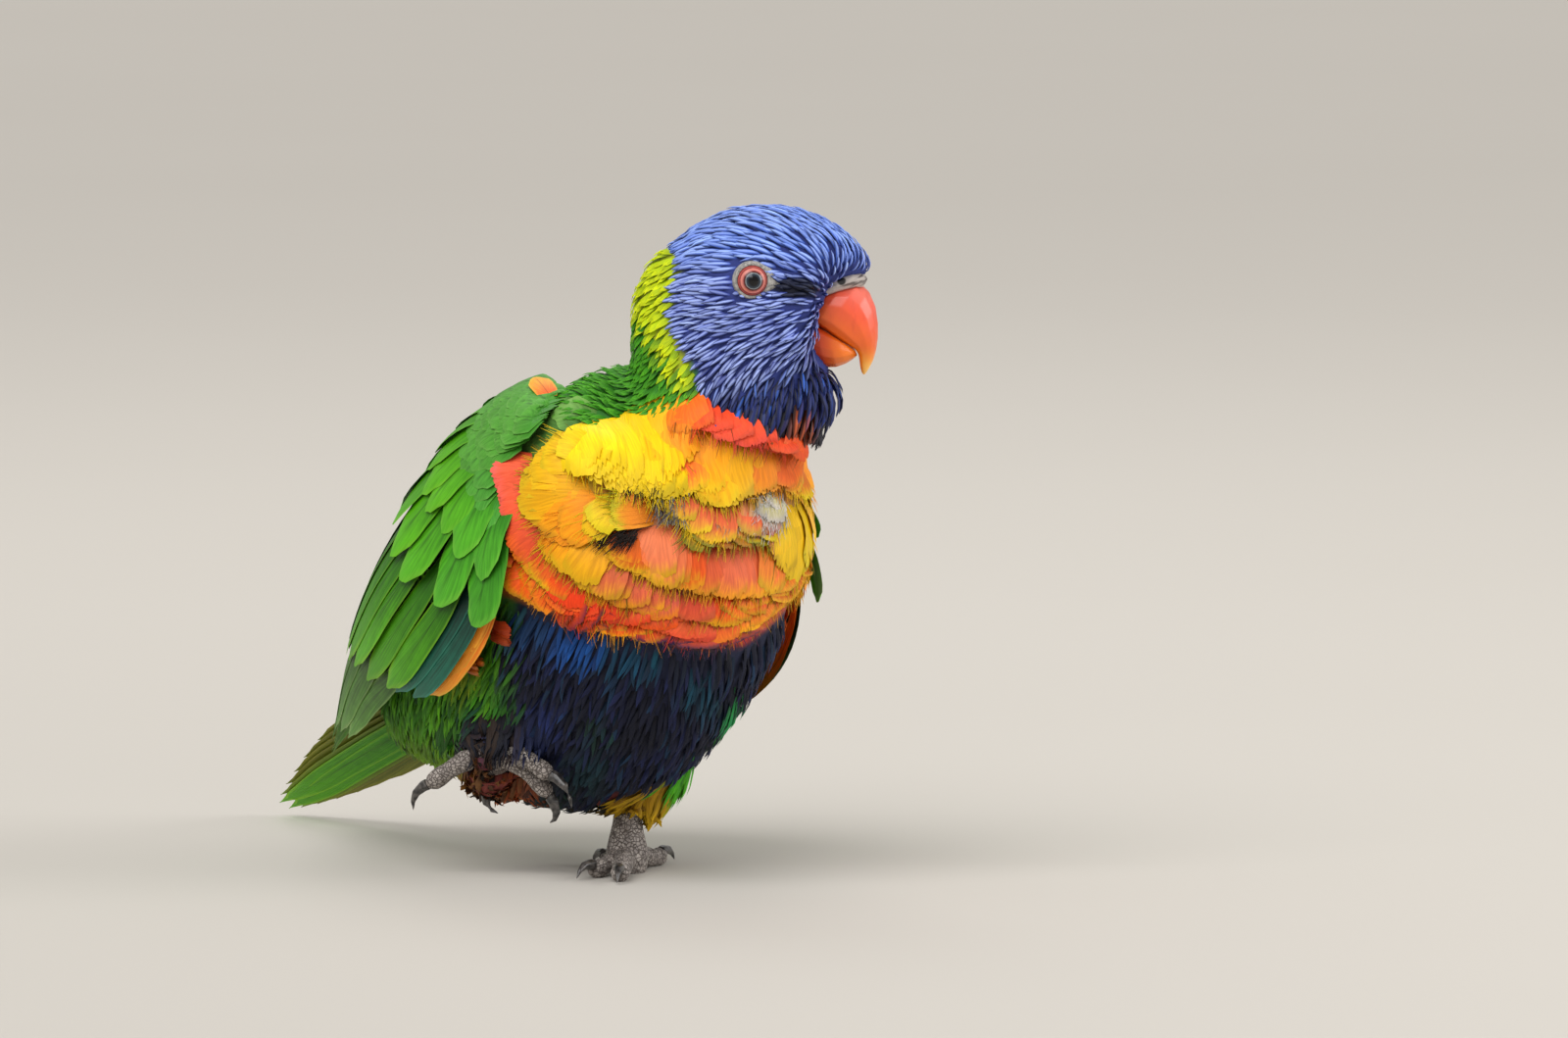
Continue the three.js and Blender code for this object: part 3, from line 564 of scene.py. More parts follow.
def navy_share(points):
    forward, left, height = body_frame(points)
    reach = -38 + 3.3 * np.maximum(np.abs(left) - 20, 0) * smoothstep(height, 26, 38)
    return smoothstep(forward - reach, -3, 3) * smoothstep(70 - height, 0, 6)


def thigh_share(points):
    """Nearness to the feathered part of either leg."""
    near = np.min([np.linalg.norm(points - place(middle), axis=1) for middle in THIGHS], axis=0) / MM
    return smoothstep(near, 17, 12)


def breast_colour(points, rng=None):
    across, up = picture_frame(points)
    places = np.array([patch[:2] for patch in BREAST_PATCHES])
    colours = np.array([paint(patch[2]) for patch in BREAST_PATCHES])
    if rng is not None:
        across, up = across + rng.normal(0, 1.5, len(across)), up + rng.normal(0, 1.5, len(up))
    away = np.hypot(across[:, None] - places[:, 0], up[:, None] - places[:, 1])
    weight = 1 / (away + 0.8) ** 4
    weight /= weight.sum(1, keepdims=True)
    return weight @ colours


def body_colour(points):
    """The plumage's colour at points of the bird, without what differs from feather to feather."""
    forward, _, height = body_frame(points)
    colour = blend(LEAF, MANTLE, smoothstep(height, 88, 104) * smoothstep(forward, -50, -15))
    colour = blend(colour, OLIVE, 0.6 * smoothstep(height, 30, 16) * smoothstep(forward, -20, -60))
    colour = blend(colour, NAVY, navy_share(points))
    colour = blend(colour, RUST, thigh_share(points) * 0.6)
    colour = blend(colour, NECK_GREEN, neck_share(points))
    colour = blend(colour, LIME, neck_share(points) * lime_share(points))
    colour = blend(colour, breast_colour(points), breast_share(points))
    colour = blend(colour, BLUE, mask_share(points))
    return blend(colour, "05060c", lore_share(points))


def paint_points(mesh, name, colours):
    attribute = mesh.color_attributes.new(name, "FLOAT_COLOR", "POINT")
    attribute.data.foreach_set("color", np.asarray(colours, np.float32).ravel())


points = coordinates(skin_mesh)
# The skin's colour is the markings blended 35% towards dark navy: painted shade under the coat.
paint_points(skin_mesh, "marking", blend(body_colour(points), SHADE_UNDER_COAT, np.full(len(points), 0.35)))
material, spot = new_material("skin_under_plumage")
marking = spot.node("Attribute", {"attribute_name": "marking"})
mottle = spot.noise(900)
finish_material(material, (mottle * 0.5 + 0.6).lit(marking), 0.85, mottle.bump(0.3, 0.0002))
add_piece("skin", skin_mesh, material, "breast_plumage", *FLESH)


# The eyes are glossy balls. Round the pupil the iris has pink and red rings, which are painted about the line
# along which the eye looks. The rings are by their distance from it, as a share of the ball's radius. The
# blue-grey ring next to the pupil is a painted reflection.
SIDES = (("left", 1), ("right", -1))
EYE = {"forward": 28.5, "side": 15.4, "height": 137.6, "radius": 3.8, "aim": 0.16}
# The stops from 0.33 to 0.44 are blue-grey: a painted reflection round the pupil.
IRIS_AND_REFLECTION = [
    (0.0, "020203"), (0.27, "05060a"), (0.33, "1c242e"), (0.44, "36424e"), (0.475, "9da3a6"),
    (0.505, "331818"), (0.58, "6a2b29"), (0.64, "c8736a"), (0.73, "db867a"), (0.785, "762022"),
    (0.84, "bd5c56"), (0.9, "9a3836"), (0.94, "241012"),
]


def eye_axis(hand):
    return Vector(unit(np.array([EYE["aim"], hand, 0.0]) @ HEAD_AXES))


def eye_centre(hand):
    return Vector(head_point(EYE["forward"], hand * EYE["side"], EYE["height"]))


for side, hand in SIDES:
    form = bmesh.new()
    bmesh.ops.create_uvsphere(form, u_segments=48, v_segments=32, radius=EYE["radius"] * MM)
    turned = eye_axis(hand).to_track_quat("Z", "Y").to_matrix().to_4x4()
    bmesh.ops.transform(form, matrix=Matrix.Translation(eye_centre(hand)) @ turned, verts=form.verts)
    mesh = mesh_of(form, "eyeball_" + side)
    mesh.shade_smooth()
    material, spot = new_material("iris_" + side)
    spot = spot.less(eye_centre(hand))
    reach = spot.node("VectorMath", {"operation": "CROSS_PRODUCT"}, {0: spot, 1: eye_axis(hand)}).length()
    flecks = spot.noise(2600, 3) * 0.05 - 0.025
    iris = reach.node("ValToRGB", {"stops": IRIS_AND_REFLECTION}, {0: reach / (EYE["radius"] * MM) + flecks})
    finish_material(material, iris, 0.2, Specular_IOR_Level=0.1, Coat_Weight=0.6, Coat_Roughness=0.03)
    add_piece("eyeball_" + side, mesh, material, "eye", "eye_" + side)


# Bare grey skin surrounds each eye in two soft folds, drawn out to a point towards the bill. It is one thin
# ring of flesh over the ball. Each loop has its radius, its height on the ball's axis and how far its front
# is drawn out.
LID_LOOPS = [
    (3.5, 1.1, 0), (3.47, 1.6, 0), (3.5, 1.9, 0), (3.6, 2.0, 0), (3.72, 1.75, 0), (3.85, 1.9, 0.3),
    (4.05, 1.8, 1.4), (4.25, 1.4, 2.9), (4.45, 0.7, 3.9), (4.4, 0.0, 3.0), (4.0, -0.4, 0.4),
]
material, spot = new_material("bare_skin_round_eye")
creases = spot.noise(1800, 4)
shade = creases.fade(0.35, 0.65).mixed("7c7a78", "aeaaa4")
finish_material(material, shade, 0.6, creases.bump(0.6, 0.0002))
for side, hand in SIDES:
    form = bmesh.new()
    turned = Matrix([eye_axis(hand).cross(Vector((0, 0, 1))), (0, 0, 1), eye_axis(hand)]).transposed()
    ahead = 1 if turned.col[0].dot(Vector(HEAD_FORWARD)) > 0 else -1
    loops = []
    for radius, height, drawn in LID_LOOPS:
        made = bmesh.ops.create_circle(form, segments=40, radius=radius * MM)["verts"]
        for vert in made:
            front = max(vert.co.x * ahead / (radius * MM), 0) ** 6
            vert.co.x += drawn * front * MM * ahead
            vert.co.y -= drawn * 0.12 * front * MM
            vert.co.z = (height - 0.12 * drawn * front) * MM
        loops.append(made)
    for pair in zip(loops, loops[1:]):
        edges = [e for loop in pair for e in form.edges if e.verts[0] in loop and e.verts[1] in loop]
        bmesh.ops.bridge_loops(form, edges=edges)
    bmesh.ops.bridge_loops(form, edges=[e for e in form.edges if e.is_boundary])
    put = Matrix.Translation(eye_centre(hand)) @ turned.to_4x4()
    bmesh.ops.transform(form, matrix=put, verts=form.verts)
    bmesh.ops.recalc_face_normals(form, faces=form.faces)
    mesh = mesh_of(form, "eye_ring_" + side)
    mesh.shade_smooth()
    add_piece("eye_ring_" + side, mesh, material, "cere")


# The bill is horn: the upper half hooks over the lower one, coral near its root, orange along its edge and
# yellow at its tip, with faint lines of growth and a painted highlight of pale pink along its top. Both
# halves are set in the face.
def along_head(spot, direction):
    """Distance along a direction from the head's origin, in millimetres, as a wire."""
    return spot.dotted(direction) * (1 / MM) - float(np.dot(HEAD_ORIGIN, direction))


material, spot = new_material("horn_of_bill")
ahead, high = along_head(spot, HEAD_FORWARD), along_head(spot, (0, 0, 1))
streaks = spot.stretched((1, 1, 0.25)).noise(700, 4)
warmth = high + (ahead - 50) * 0.55 + streaks * 3 - 1.5
body_tint = warmth.fade(121, 134).mixed("ee6a12", "f0563a")
# Pale pink along the top of the upper bill is a painted highlight.
tint_with_highlight = (warmth.fade(130, 138) * 0.8).mixed(body_tint, "ee7a68")
tip = (122 - high).fade(0, 6) * ahead.fade(51.5, 53)
horn = tip.mixed(tint_with_highlight, "f7a838")
edge = (119 - high).fade(0, 3.5) * ahead.fade(53, 55)
horn = (edge * 0.5).mixed(horn, "fbd27a")
below = (128.4 - (ahead - 42.4) * 0.71 - high).fade(-0.1, 0.5)
low_half = ahead.fade(43.5, 51.5).mixed("c63c0c", "f27c10")
horn = (below * ahead.fade(54.2, 53.4)).mixed(horn, low_half)
horn = (streaks.fade(0.55, 0.75) * 0.25).mixed(horn, "c8401c")
lines = spot.noise(260, 6)
finish_material(
    material, horn, lines * 0.25 + 0.27, lines.bump(0.25, 0.0003), Coat_Weight=0.2,
    Coat_Roughness=0.3, Subsurface_Weight=0.12, Subsurface_Radius=(0.002, 0.0008, 0.0004),
)
for name in ("upper_bill", "lower_bill"):
    mesh = remeshed(joined_copy([name]), "horn_" + name, 0.22, 10)
    add_piece("horn_" + name, mesh, material, "bill", name)


# The cere is the bare band of skin over the root of the upper bill, dark grey with pale creases, and holds
# the nostrils. Each nostril is looked for from the side, at its place forward and up, and the shade in its
# opening is painted as a near-black spot.
NOSTRIL = {"forward": 49, "side": 20, "height": 136.7, "radius": 0.75}
material, spot = new_material("skin_of_cere")
ahead, aside, high = (along_head(spot, direction) for direction in (HEAD_FORWARD, HEAD_SIDE, (0, 0, 1)))
folds = spot.node("CombineXYZ", {}, {0: ahead * 0.22, 1: aside * 0.22, 2: high * 1.3 - ahead * 0.45})
folds = folds.noise(1.1, 3)
shade = folds.fade(0.36, 0.58).mixed("5f5653", "b3a9a3")
cere_mesh = remeshed(joined_copy(["cere"]), "cere_skin", 0.2, 6)
tree = tree_of(joined([cere_mesh]))
for _, hand in SIDES:
    beside = Vector(head_point(NOSTRIL["forward"], hand * NOSTRIL["side"], NOSTRIL["height"]))
    opening = tree.ray_cast(beside, -hand * Vector(HEAD_SIDE))[0]
    away = spot.less(opening).length() * (1 / MM)
    # The near-black spot is painted shade in the nostril's opening.
    shade = away.fade(NOSTRIL["radius"] + 0.5, NOSTRIL["radius"]).mixed(shade, "0f0c0c")
finish_material(material, shade, 0.5, folds.bump(0.6, 0.0003))
add_piece("cere_skin", cere_mesh, material, "cere", "cere")


# The feet are scaly skin over bone: broad plates across the top of each toe, small round scales at the sides
# and grainy pads below. Each foot is one skin from shank to toe ends, with a claw of dark horn on each toe.
FOOT_VOXEL = 0.3
RIDGE = {"pitch": 1.7, "height": 0.16}
material, spot = new_material("scaly_foot_skin")
scales = spot.node("TexVoronoi", {"feature": "DISTANCE_TO_EDGE"}, {"Vector": spot, "Scale": 1100.0})
tone = spot.noise(420, 4)
shade = tone.fade(0.3, 0.7).mixed("7c736e", "aca39c")
shade = scales.fade(0.14, 0.02).mixed(shade, "5a514c")
dust = spot.noise(2500, 3)
shade = (dust.fade(0.55, 0.75) * 0.5).mixed(shade, "c9c1ba")
relief = scales.fade(0, 0.12) + dust * 0.3
finish_material(material, shade, 0.62, relief.bump(0.9, 0.0003))
claw_material, spot = new_material("claw_horn")
grain = spot.noise(900, 4)
shade = grain.fade(0.35, 0.7).mixed("1f1d1d", "57524f")
finish_material(claw_material, shade, grain * 0.3 + 0.2, grain.bump(0.3, 0.0002), Coat_Weight=0.3)
ANKLE = {"left": place([-9, 5.5, 6]), "right": place([-14, -25.4, 28.6])}
for side, _ in SIDES:
    parts = ["tarsus_" + side] + [f"toe_{side}_{n}" for n in range(1, 5)]
    mesh = remeshed(joined_copy(parts), "foot_skin_" + side, FOOT_VOXEL, 5)
    points, normals = coordinates(mesh), coordinates(mesh, True)
    away = np.linalg.norm(points - ANKLE[side], axis=1) / MM
    ridges = 1 - np.abs(np.sin(math.pi * away / RIDGE["pitch"])) ** 0.35 * 1.6
    top = smoothstep(normals[:, 2], -0.1, 0.5) * smoothstep(points[:, 2] / MM, 0.5, 1.5)
    points -= normals * (np.maximum(ridges, -0.1) * top * RIDGE["height"] * MM)[:, None]
    mesh.vertices.foreach_set("co", points.ravel())
    mesh.update()
    foot = add_piece("foot_skin_" + side, mesh, material, "foot_skin", *parts)
    for n in range(1, 5):
        name = f"claw_{side}_{n}"
        mesh = remeshed(joined_copy([name]), "horn_" + name, 0.2, 4)
        add_piece("horn_" + name, mesh, claw_material, "claw", name)


# The head's feathers are narrow, stiff and pointed, each with a pale streak down its shaft, and lie back from
# the bill over crown, cheeks and throat. Every feather of the bird is a thin closed vane that is rooted in
# the skin and follows it.
def vane_form(columns, rows):
    """A closed vane as arrays: x across from -1 to 1, row along it, z 1 above and -1 below, its triangles.
    Its two faces share the rim, and each corner's square is cut through the corner to keep them apart."""
    i, j = np.meshgrid(np.arange(columns + 1), np.arange(rows + 1))
    inner = (i > 0) & (i < columns) & (j > 0) & (j < rows)
    above = np.arange(i.size).reshape(i.shape)
    below = above.copy()
    below[inner] = i.size + np.arange(inner.sum())
    rising = ((i < columns / 2) == (j < rows / 2))[:-1, :-1, None]
    faces = []
    for level, order in ((above, [2, 1, 0]), (below, [0, 1, 2])):
        a, b, c, d = level[:-1, :-1], level[:-1, 1:], level[1:, 1:], level[1:, :-1]
        for one, other in (((a, b, c), (a, b, d)), ((a, c, d), (b, c, d))):
            halves = np.where(rising, np.stack(one, -1), np.stack(other, -1))
            faces.append(halves[..., order].reshape(-1, 3))
    x = np.concatenate([i.ravel(), i[inner]]) / columns * 2 - 1
    row = np.concatenate([j.ravel(), j[inner]])
    z = np.concatenate([inner.ravel() * 1.0, np.full(inner.sum(), -1.0)])
    return x, row, z, np.concatenate(faces)


def follow(surface, roots, lie, lengths, rows, rng, stray=0.1, free=0.0):
    """Paths from the roots over a surface in the direction of the lie, each with a normal at every row.
    stray turns each feather's own direction, and free lets its outer half run straight on from the skin."""
    spot, normal = surface.nearest(roots)
    turn = rng.normal(0, stray, len(roots))[:, None]
    paths, normals = [spot], [normal]
    step = (lengths / rows)[:, None] * MM
    heading = None
    for row in range(rows):
        flow = lie(spot, normal)
        flow = unit(flow - (flow * normal).sum(1, keepdims=True) * normal)
        flow = flow * np.cos(turn) + np.cross(normal, flow) * np.sin(turn)
        loose = free if row * 2 >= rows else 0.0
        if heading is not None and loose > 0:
            flow = unit(flow * (1 - loose) + heading * loose)
        heading = flow
        ahead = spot + flow * step
        landed, landed_normal = surface.nearest(ahead)
        spot = landed * (1 - loose) + ahead * loose
        normal = unit(landed_normal * (1 - loose) + normal * loose)
        paths.append(spot)
        normals.append(normal)
    return np.stack(paths, 1), np.stack(normals, 1)


# How wide a feather's patch of the map OFBake is
PATCH = 0.003


def feather_mesh(name, paths, normals, widths, kind, colours, patches, rng, surface=None):
    """One mesh of a feather on each path. kind has the vane's columns, its outline as half widths along it,
    the thickness, the rise of root and tip over the path, the camber across it, and where wanted how far its
    end is rounded, how ragged it is, its roll and lean, and how uneven the rise is from feather to feather.
    colours are by attribute name, and patches are the roots' places on OFBake. Edges stay off the surface."""
    count, rows = paths.shape[0], paths.shape[1] - 1
    x, row, z, faces = vane_form(kind["columns"], rows)
    t = row / rows
    along_path = unit(np.gradient(paths, axis=1))
    across = unit(np.cross(normals, along_path))
    shape = np.interp(np.linspace(0, 1, rows + 1), *zip(*kind["outline"]))
    half = widths[:, None] * shape / 2 * MM
    drop = np.zeros_like(half)
    if surface is not None:
        for side in (1, -1):
            found, _ = surface.nearest(paths + across * (half * side)[..., None])
            drop += np.clip(((paths - found) * normals).sum(2), 0, None) / 2
        drop = np.minimum(drop, half * 0.8)
    lengths = np.linalg.norm(np.diff(paths, axis=1), axis=2).sum(1)
    at_root, at_tip = kind["rise"]
    rise = at_root + (at_tip - at_root) * np.sin(np.linspace(0, math.pi / 2, rows + 1))
    rise = rise * MM + rng.normal(0, kind.get("uneven", 0), (count, 1)) * np.linspace(0, 1, rows + 1) * MM
    roll = rng.normal(0, kind.get("roll", 0), (count, 1)) + kind.get("lean", 0)
    width_here = half[:, row] * x
    body = kind["thick"] / 2 * MM * z * (1 - 0.7 * np.abs(x)) * np.where(t > 0.8, 0.7, 1)
    bow = kind["camber"] * half[:, row] * (1 - x**2)
    height = rise[:, row] + body + bow - drop[:, row] * x**2 + width_here * roll
    columns = np.rint((x + 1) / 2 * kind["columns"]).astype(int)
    ragged = rng.random((count, kind["columns"] + 1)) * kind.get("ragged", 0)
    ragged[:, 1::2] *= 0.25
    back = kind.get("round", 0) * t * x**2 + np.where(row == rows, ragged[:, columns], 0)
    spots = paths[:, row] + across[:, row] * width_here[..., None] + normals[:, row] * height[..., None]
    spots -= along_path[:, row] * (back * lengths[:, None])[..., None]
    size = len(x)
    corners = (faces[None] + np.arange(count)[:, None, None] * size).reshape(-1)
    mesh = bpy.data.meshes.new(name)
    mesh.vertices.add(count * size)
    mesh.vertices.foreach_set("co", spots.ravel())
    mesh.loops.add(len(corners))
    mesh.loops.foreach_set("vertex_index", corners)
    mesh.polygons.add(len(corners) // 3)
    mesh.polygons.foreach_set("loop_start", np.arange(0, len(corners), 3))
    mesh.update(calc_edges=True)
    mesh.shade_smooth()
    mesh.set_sharp_from_angle(angle=math.radians(70))
    for attribute, values in colours.items():
        paint_points(mesh, attribute, np.repeat(values, size, axis=0))
    vane = np.stack(np.broadcast_arrays((x + 1) / 2, t), -1)
    patch = patches[:, None] + (vane - 0.5) * PATCH
    for layer, values in (("vane", np.tile(vane, (count, 1))), ("OFBake", patch.reshape(-1, 2))):
        made = mesh.uv_layers.new(name=layer)
        made.data.foreach_set("uv", values[corners].astype(np.float32).ravel())
    return mesh


def unwrap(points, middle, axis):
    """Places between 0 and 1 on an unwrap of the skin: the angle about an axis, and the way along it."""
    reach = points - middle
    axis = unit(np.asarray(axis, float))
    first = unit(np.cross(axis, [0.3, 0.1, 1]))
    second = np.cross(axis, first)
    angle = np.arctan2(reach @ second, reach @ first) / (2 * math.pi) + 0.5
    height = reach @ axis
    height = (height - height.min()) / max(np.ptp(height), 1e-9)
    return 0.01 + 0.98 * np.stack([angle, height], 1)


def vane_material(name, lines, slope, depth=0.35, rough=0.55, relief=0.5, spread=(0.35, 0.9), rim=0, shaft=0,
                  streak=0, hem=0, grain=0.45):
    """A feather's finish. Its colour goes from the root's to the tip's over the part spread of its length, in
    fine barbs: lines is how many lie on each side, slope how far they slant, and depth their contrast. rim is
    the share of the mark's colour along the end and hem along the sides, shaft how dark the shaft is, streak
    how much of the mark is along it, and grain how far the barbs break up the change of colour."""
    material, spot = new_material(name)
    split = spot.node("SeparateXYZ", {}, {0: spot.node("UVMap", {"uv_map": "vane"})})
    u, v = (Wire(spot.tree, split.socket.node.outputs[n]) for n in (0, 1))
    x = abs(u * 2 - 1)
    root, tip, mark = (spot.node("Attribute", {"attribute_name": key}) for key in ("root", "tip", "mark"))
    cloud = spot.noise(260, 2)
    barb = (x - v * slope) * lines
    barbs = spot.node("CombineXYZ", {}, {0: barb, 1: v * 2 + x, 2: root.dotted((40, 70, 90))}).noise(1, 3)
    change = v + (cloud - 0.5) * 0.3 + (barbs - 0.5) * grain
    colour = change.fade(*spread).mixed(root, tip)
    colour = (barbs.fade(0.25, 0.75) * depth + (1.05 - depth * 0.6)).lit(colour)
    if rim > 0:
        edge = (x * 0.25 + v + (barbs - 0.5) * 0.25).fade(0.94, 1.1)
        colour = (edge * rim + x.fade(0.8, 1.0) * hem).mixed(colour, mark)
    if streak > 0:
        colour = (1 - x.fade(0.5, 1.0) * 0.8).lit(colour)
        colour = (x.fade(0.6, 0.15) * v.fade(0.1, 0.35) * streak).mixed(colour, mark)
    bumps = barbs
    if shaft > 0:
        line = x.fade(0.1, 0.03) * v.fade(1.0, 0.6)
        colour = (1 - line * shaft).lit(colour)
        bumps = barbs + line * 0.2
    return finish_material(material, colour, rough, bumps.bump(relief, 0.00015), Specular_IOR_Level=0.25)


def varied(colours, rng, amount):
    """The colours with a change of lightness from feather to feather."""
    change = 1 + rng.normal(0, amount, (len(colours), 1))
    made = np.clip(np.asarray(colours) * change, 0, 1)
    made[:, 3] = 1
    return made


def coloured(rng, amounts, root, tip, mark):
    """A coat's colours by attribute, each varied by its own amount."""
    shades = zip(("root", "tip", "mark"), (root, tip, mark), amounts)
    return {key: varied(shade, rng, amount) for key, shade, amount in shades}


# No node is thicker than twice this, so that points farther from its face are never inside it
THICKEST = 6


def bare_of(points, names, gap):
    """Whether points are outside the named CAD nodes and farther than gap, in millimetres, from them."""
    tree = tree_of(joined_copy(names))
    found = [tree.find_nearest(point)[:2] for point in points.tolist()]
    spots, normals = (np.array([hit[n] for hit in found]) for n in (0, 1))
    reach = points - spots
    away = np.linalg.norm(reach, axis=1)
    return (away > gap * MM) & (((reach * normals).sum(1) > 0) | (away > THICKEST * MM))


HEAD_CENTRE = head_point(26, 0, 128)
BILL_ROOT = head_point(43.5, 0, 133)
SLENDER = [(0, 0.6), (0.4, 1), (0.75, 0.85), (1, 0.12)]
HEAD_VANE = {"columns": 4, "outline": SLENDER, "thick": 0.26, "camber": 0.4}
# The feathers of crown, cheeks and throat. lift is how far those under the bill stand forward
HEAD_GROUPS = {
    "crown": {"spacing": 1.36, "length": 7.4, "width": 1.35, "rise": (-0.5, 0.8), "roll": 0.1, "uneven": 0.24,
              "stray": 0.09, "lift": 0},
    "cheek": {"spacing": 1.22, "length": 5.8, "width": 1.15, "rise": (-0.5, 0.8), "roll": 0.12,
              "uneven": 0.26, "stray": 0.13, "lift": 2.3},
    "throat": {"spacing": 1.5, "length": 8.5, "width": 1.8, "rise": (-0.5, 1.7), "roll": 0.15, "uneven": 0.5,
               "stray": 0.13, "lift": 2.3},
}
# The crown is above a line: its height at the middle of the head, and its slope
CROWN_LINE = (134, 0.22)
# Rusty patches on the throat: forward, height and reach
RUST_SPOTS = [(39, 103.8, 3.3), (33, 101.2, 2.3)]


def away_from_bill(points, normals):
    """The head's lie: back from the bill's root, and more downwards on the throat."""
    flow = unit(points - BILL_ROOT)
    _, _, height = head_frame(points)
    down = smoothstep(height, 119, 108)[:, None]
    return unit(flow * (1 - down) + np.array([-0.3, 0.12, -1.0]) * down)


def off_eyes(points, gap=0.0):
    """Whether points are clear of the bare skin round both eyes, by a gap in millimetres."""
    forward, _, height = head_frame(points)
    ahead = forward - EYE["forward"]
    lowered = height - EYE["height"] + 0.16 * np.maximum(ahead, 0)
    reach = 4.1 + gap
    narrow = reach * np.clip(1.35 - 0.19 * ahead, 0.05, 1)
    return np.hypot(np.where(ahead > 0, ahead / (reach + 3.4), ahead / reach), lowered / narrow) > 1


def throat_share(points):
    forward, _, height = head_frame(points)
    return smoothstep(height - 0.25 * (forward - 40), 119, 108)


def on_head_part(part):
    """Whether points are in one of the head's groups of feathers."""

    def wanted(points, normals):
        forward, _, height = head_frame(points)
        crown = height > CROWN_LINE[0] + CROWN_LINE[1] * (forward - 20)
        throat = ~crown & (throat_share(points) > 0.5)
        inside = {"crown": crown, "throat": throat, "cheek": ~crown & ~throat}
        return (mask_share(points) > 0.5) & inside[part]

    return wanted


def head_colours(points, rng):
    """The root, tip and streak colours of the head's feathers."""
    forward, _, height = head_frame(points)
    crown = smoothstep(height, 136, 146)
    low_cheek = smoothstep(height, 127, 116)
    throat_height = height - 0.3 * (forward - 40)
    throat, low_throat = smoothstep(throat_height, 120.5, 114), smoothstep(throat_height, 112, 107.5)
    lore = lore_share(points)
    chin = smoothstep(height, 106.5, 103.5) * smoothstep(forward, 12, 22)
    rust = np.zeros(len(points))
    for ahead, high, size in RUST_SPOTS:
        rust = np.maximum(rust, smoothstep(np.hypot(forward - ahead, height - high), size * 1.25, size * 0.6))
    base = blend(blend("3a4aa6", "4464c4", crown), "2a378c", low_cheek)
    base = blend(base, "0f1538", throat * 0.95)
    base = blend(base, "050713", lore * 0.95)
    streaks = blend(blend("a4b8f6", "98b4fa", crown), "b4c6fa", low_cheek)
    pick = rng.random(len(points))
    bright = smoothstep(pick, 0.45, 0.95) * (1 - 0.75 * low_throat)
    streaks = blend(streaks, blend("18286a", "3568cc", bright), throat)
    streaks = blend(streaks, "10142a", lore * 0.97)
    base = blend(base, "0d0b15", chin * 0.9)
    streaks = blend(streaks, blend("16131f", "4c4a5c", smoothstep(pick, 0.7, 1)), chin * 0.95)
    base = blend(base, "4a1c12", rust)
    streaks = blend(streaks, "a84e2c", rust)
    plain = 0.45 * smoothstep(rng.random(len(points)), 0.3, 1) + 0.25 * low_cheek * (1 - throat)
    streaks = blend(streaks, base, plain)
    tips = blend(base, streaks, np.full(len(points), 0.35))
    return coloured(rng, (0.12, 0.1, 0.14), base, tips, streaks)


def add_coat(name, slot_name, material, middle, axis, roots, paths, normals, widths, kind, colours, rng,
             surface=None):
    """A piece of feathers whose roots are unwrapped round an axis through the middle."""
    patches = unwrap(roots, middle, axis)
    mesh = feather_mesh(name, paths, normals, widths, kind, colours, patches, rng, surface)
    add_piece(name, mesh, material, slot_name)


streaked = vane_material(
    "streaked_blue_feathers", 3, 0.3, depth=0.12, rough=0.45, spread=(0.3, 0.8), streak=0.92, grain=0.1
)
rng = np.random.default_rng(11)
HEAD_ROWS = 5
for part, group in HEAD_GROUPS.items():
    roots, root_normals = ground.scatter(on_head_part(part), group["spacing"], rng)
    outer = roots + root_normals * HEAD_DEPTH * MM
    behind_eye = off_eyes(roots, -0.8) & (head_frame(roots)[0] < EYE["forward"])
    clear = bare_of(outer, BARE_FACE, 0.5) & (off_eyes(roots) | behind_eye)
    roots = roots[clear]
    near_bill = smoothstep(np.linalg.norm(roots - BILL_ROOT, axis=1) / MM, 20, 7)
    lengths = group["length"] * (1 - 0.45 * near_bill) + rng.normal(0, 0.3, len(roots))
    lengths *= 1 - 0.35 * smoothstep(head_frame(roots)[2], 107, 101)
    paths, normals = follow(ground, roots, away_from_bill, lengths, HEAD_ROWS, rng, group["stray"])
    spots = paths.reshape(-1, 3)
    over_eye = ~off_eyes(spots).reshape(paths.shape[:2])
    over_eye[:, 0] = False
    stop = np.where(over_eye.any(1), over_eye.argmax(1) - 0.5, HEAD_ROWS)
    over_edge = (mask_share(spots) < 0.1).reshape(paths.shape[:2])
    kept = ~over_edge[:, :3].any(1)
    edge = over_edge.argmax(1) + rng.uniform(-0.5, 0.8, len(roots))
    stop = np.where(over_edge.any(1), np.minimum(stop, edge), stop)
    lengths = lengths * np.maximum(stop, 1.5) / HEAD_ROWS
    roots, lengths, near_bill = roots[kept], lengths[kept], near_bill[kept]
    paths, normals = follow(ground, roots, away_from_bill, lengths, HEAD_ROWS, rng, group["stray"])
    paths = paths + normals * (0.45 * near_bill)[:, None, None] * MM
    forward, _, height = head_frame(roots)
    under_bill = (0.1 + 0.9 * smoothstep(height, 110, 115)) * smoothstep(height, 119, 116.5)
    ahead = group["lift"] * under_bill * smoothstep(forward, 36, 42)
    out = np.linspace(0, 1, HEAD_ROWS + 1)[None, :, None] ** 0.4
    paths = paths + HEAD_FORWARD * ahead[:, None, None] * out * MM
    widths = group["width"] * (1 - 0.3 * near_bill) + rng.normal(0, 0.1, len(roots))
    add_coat(
        part + "_feathers", "head_plumage", streaked, HEAD_CENTRE, HEAD_FORWARD, roots, paths, normals,
        widths, {**HEAD_VANE, **group}, head_colours(paths[:, 3], rng), rng,
    )


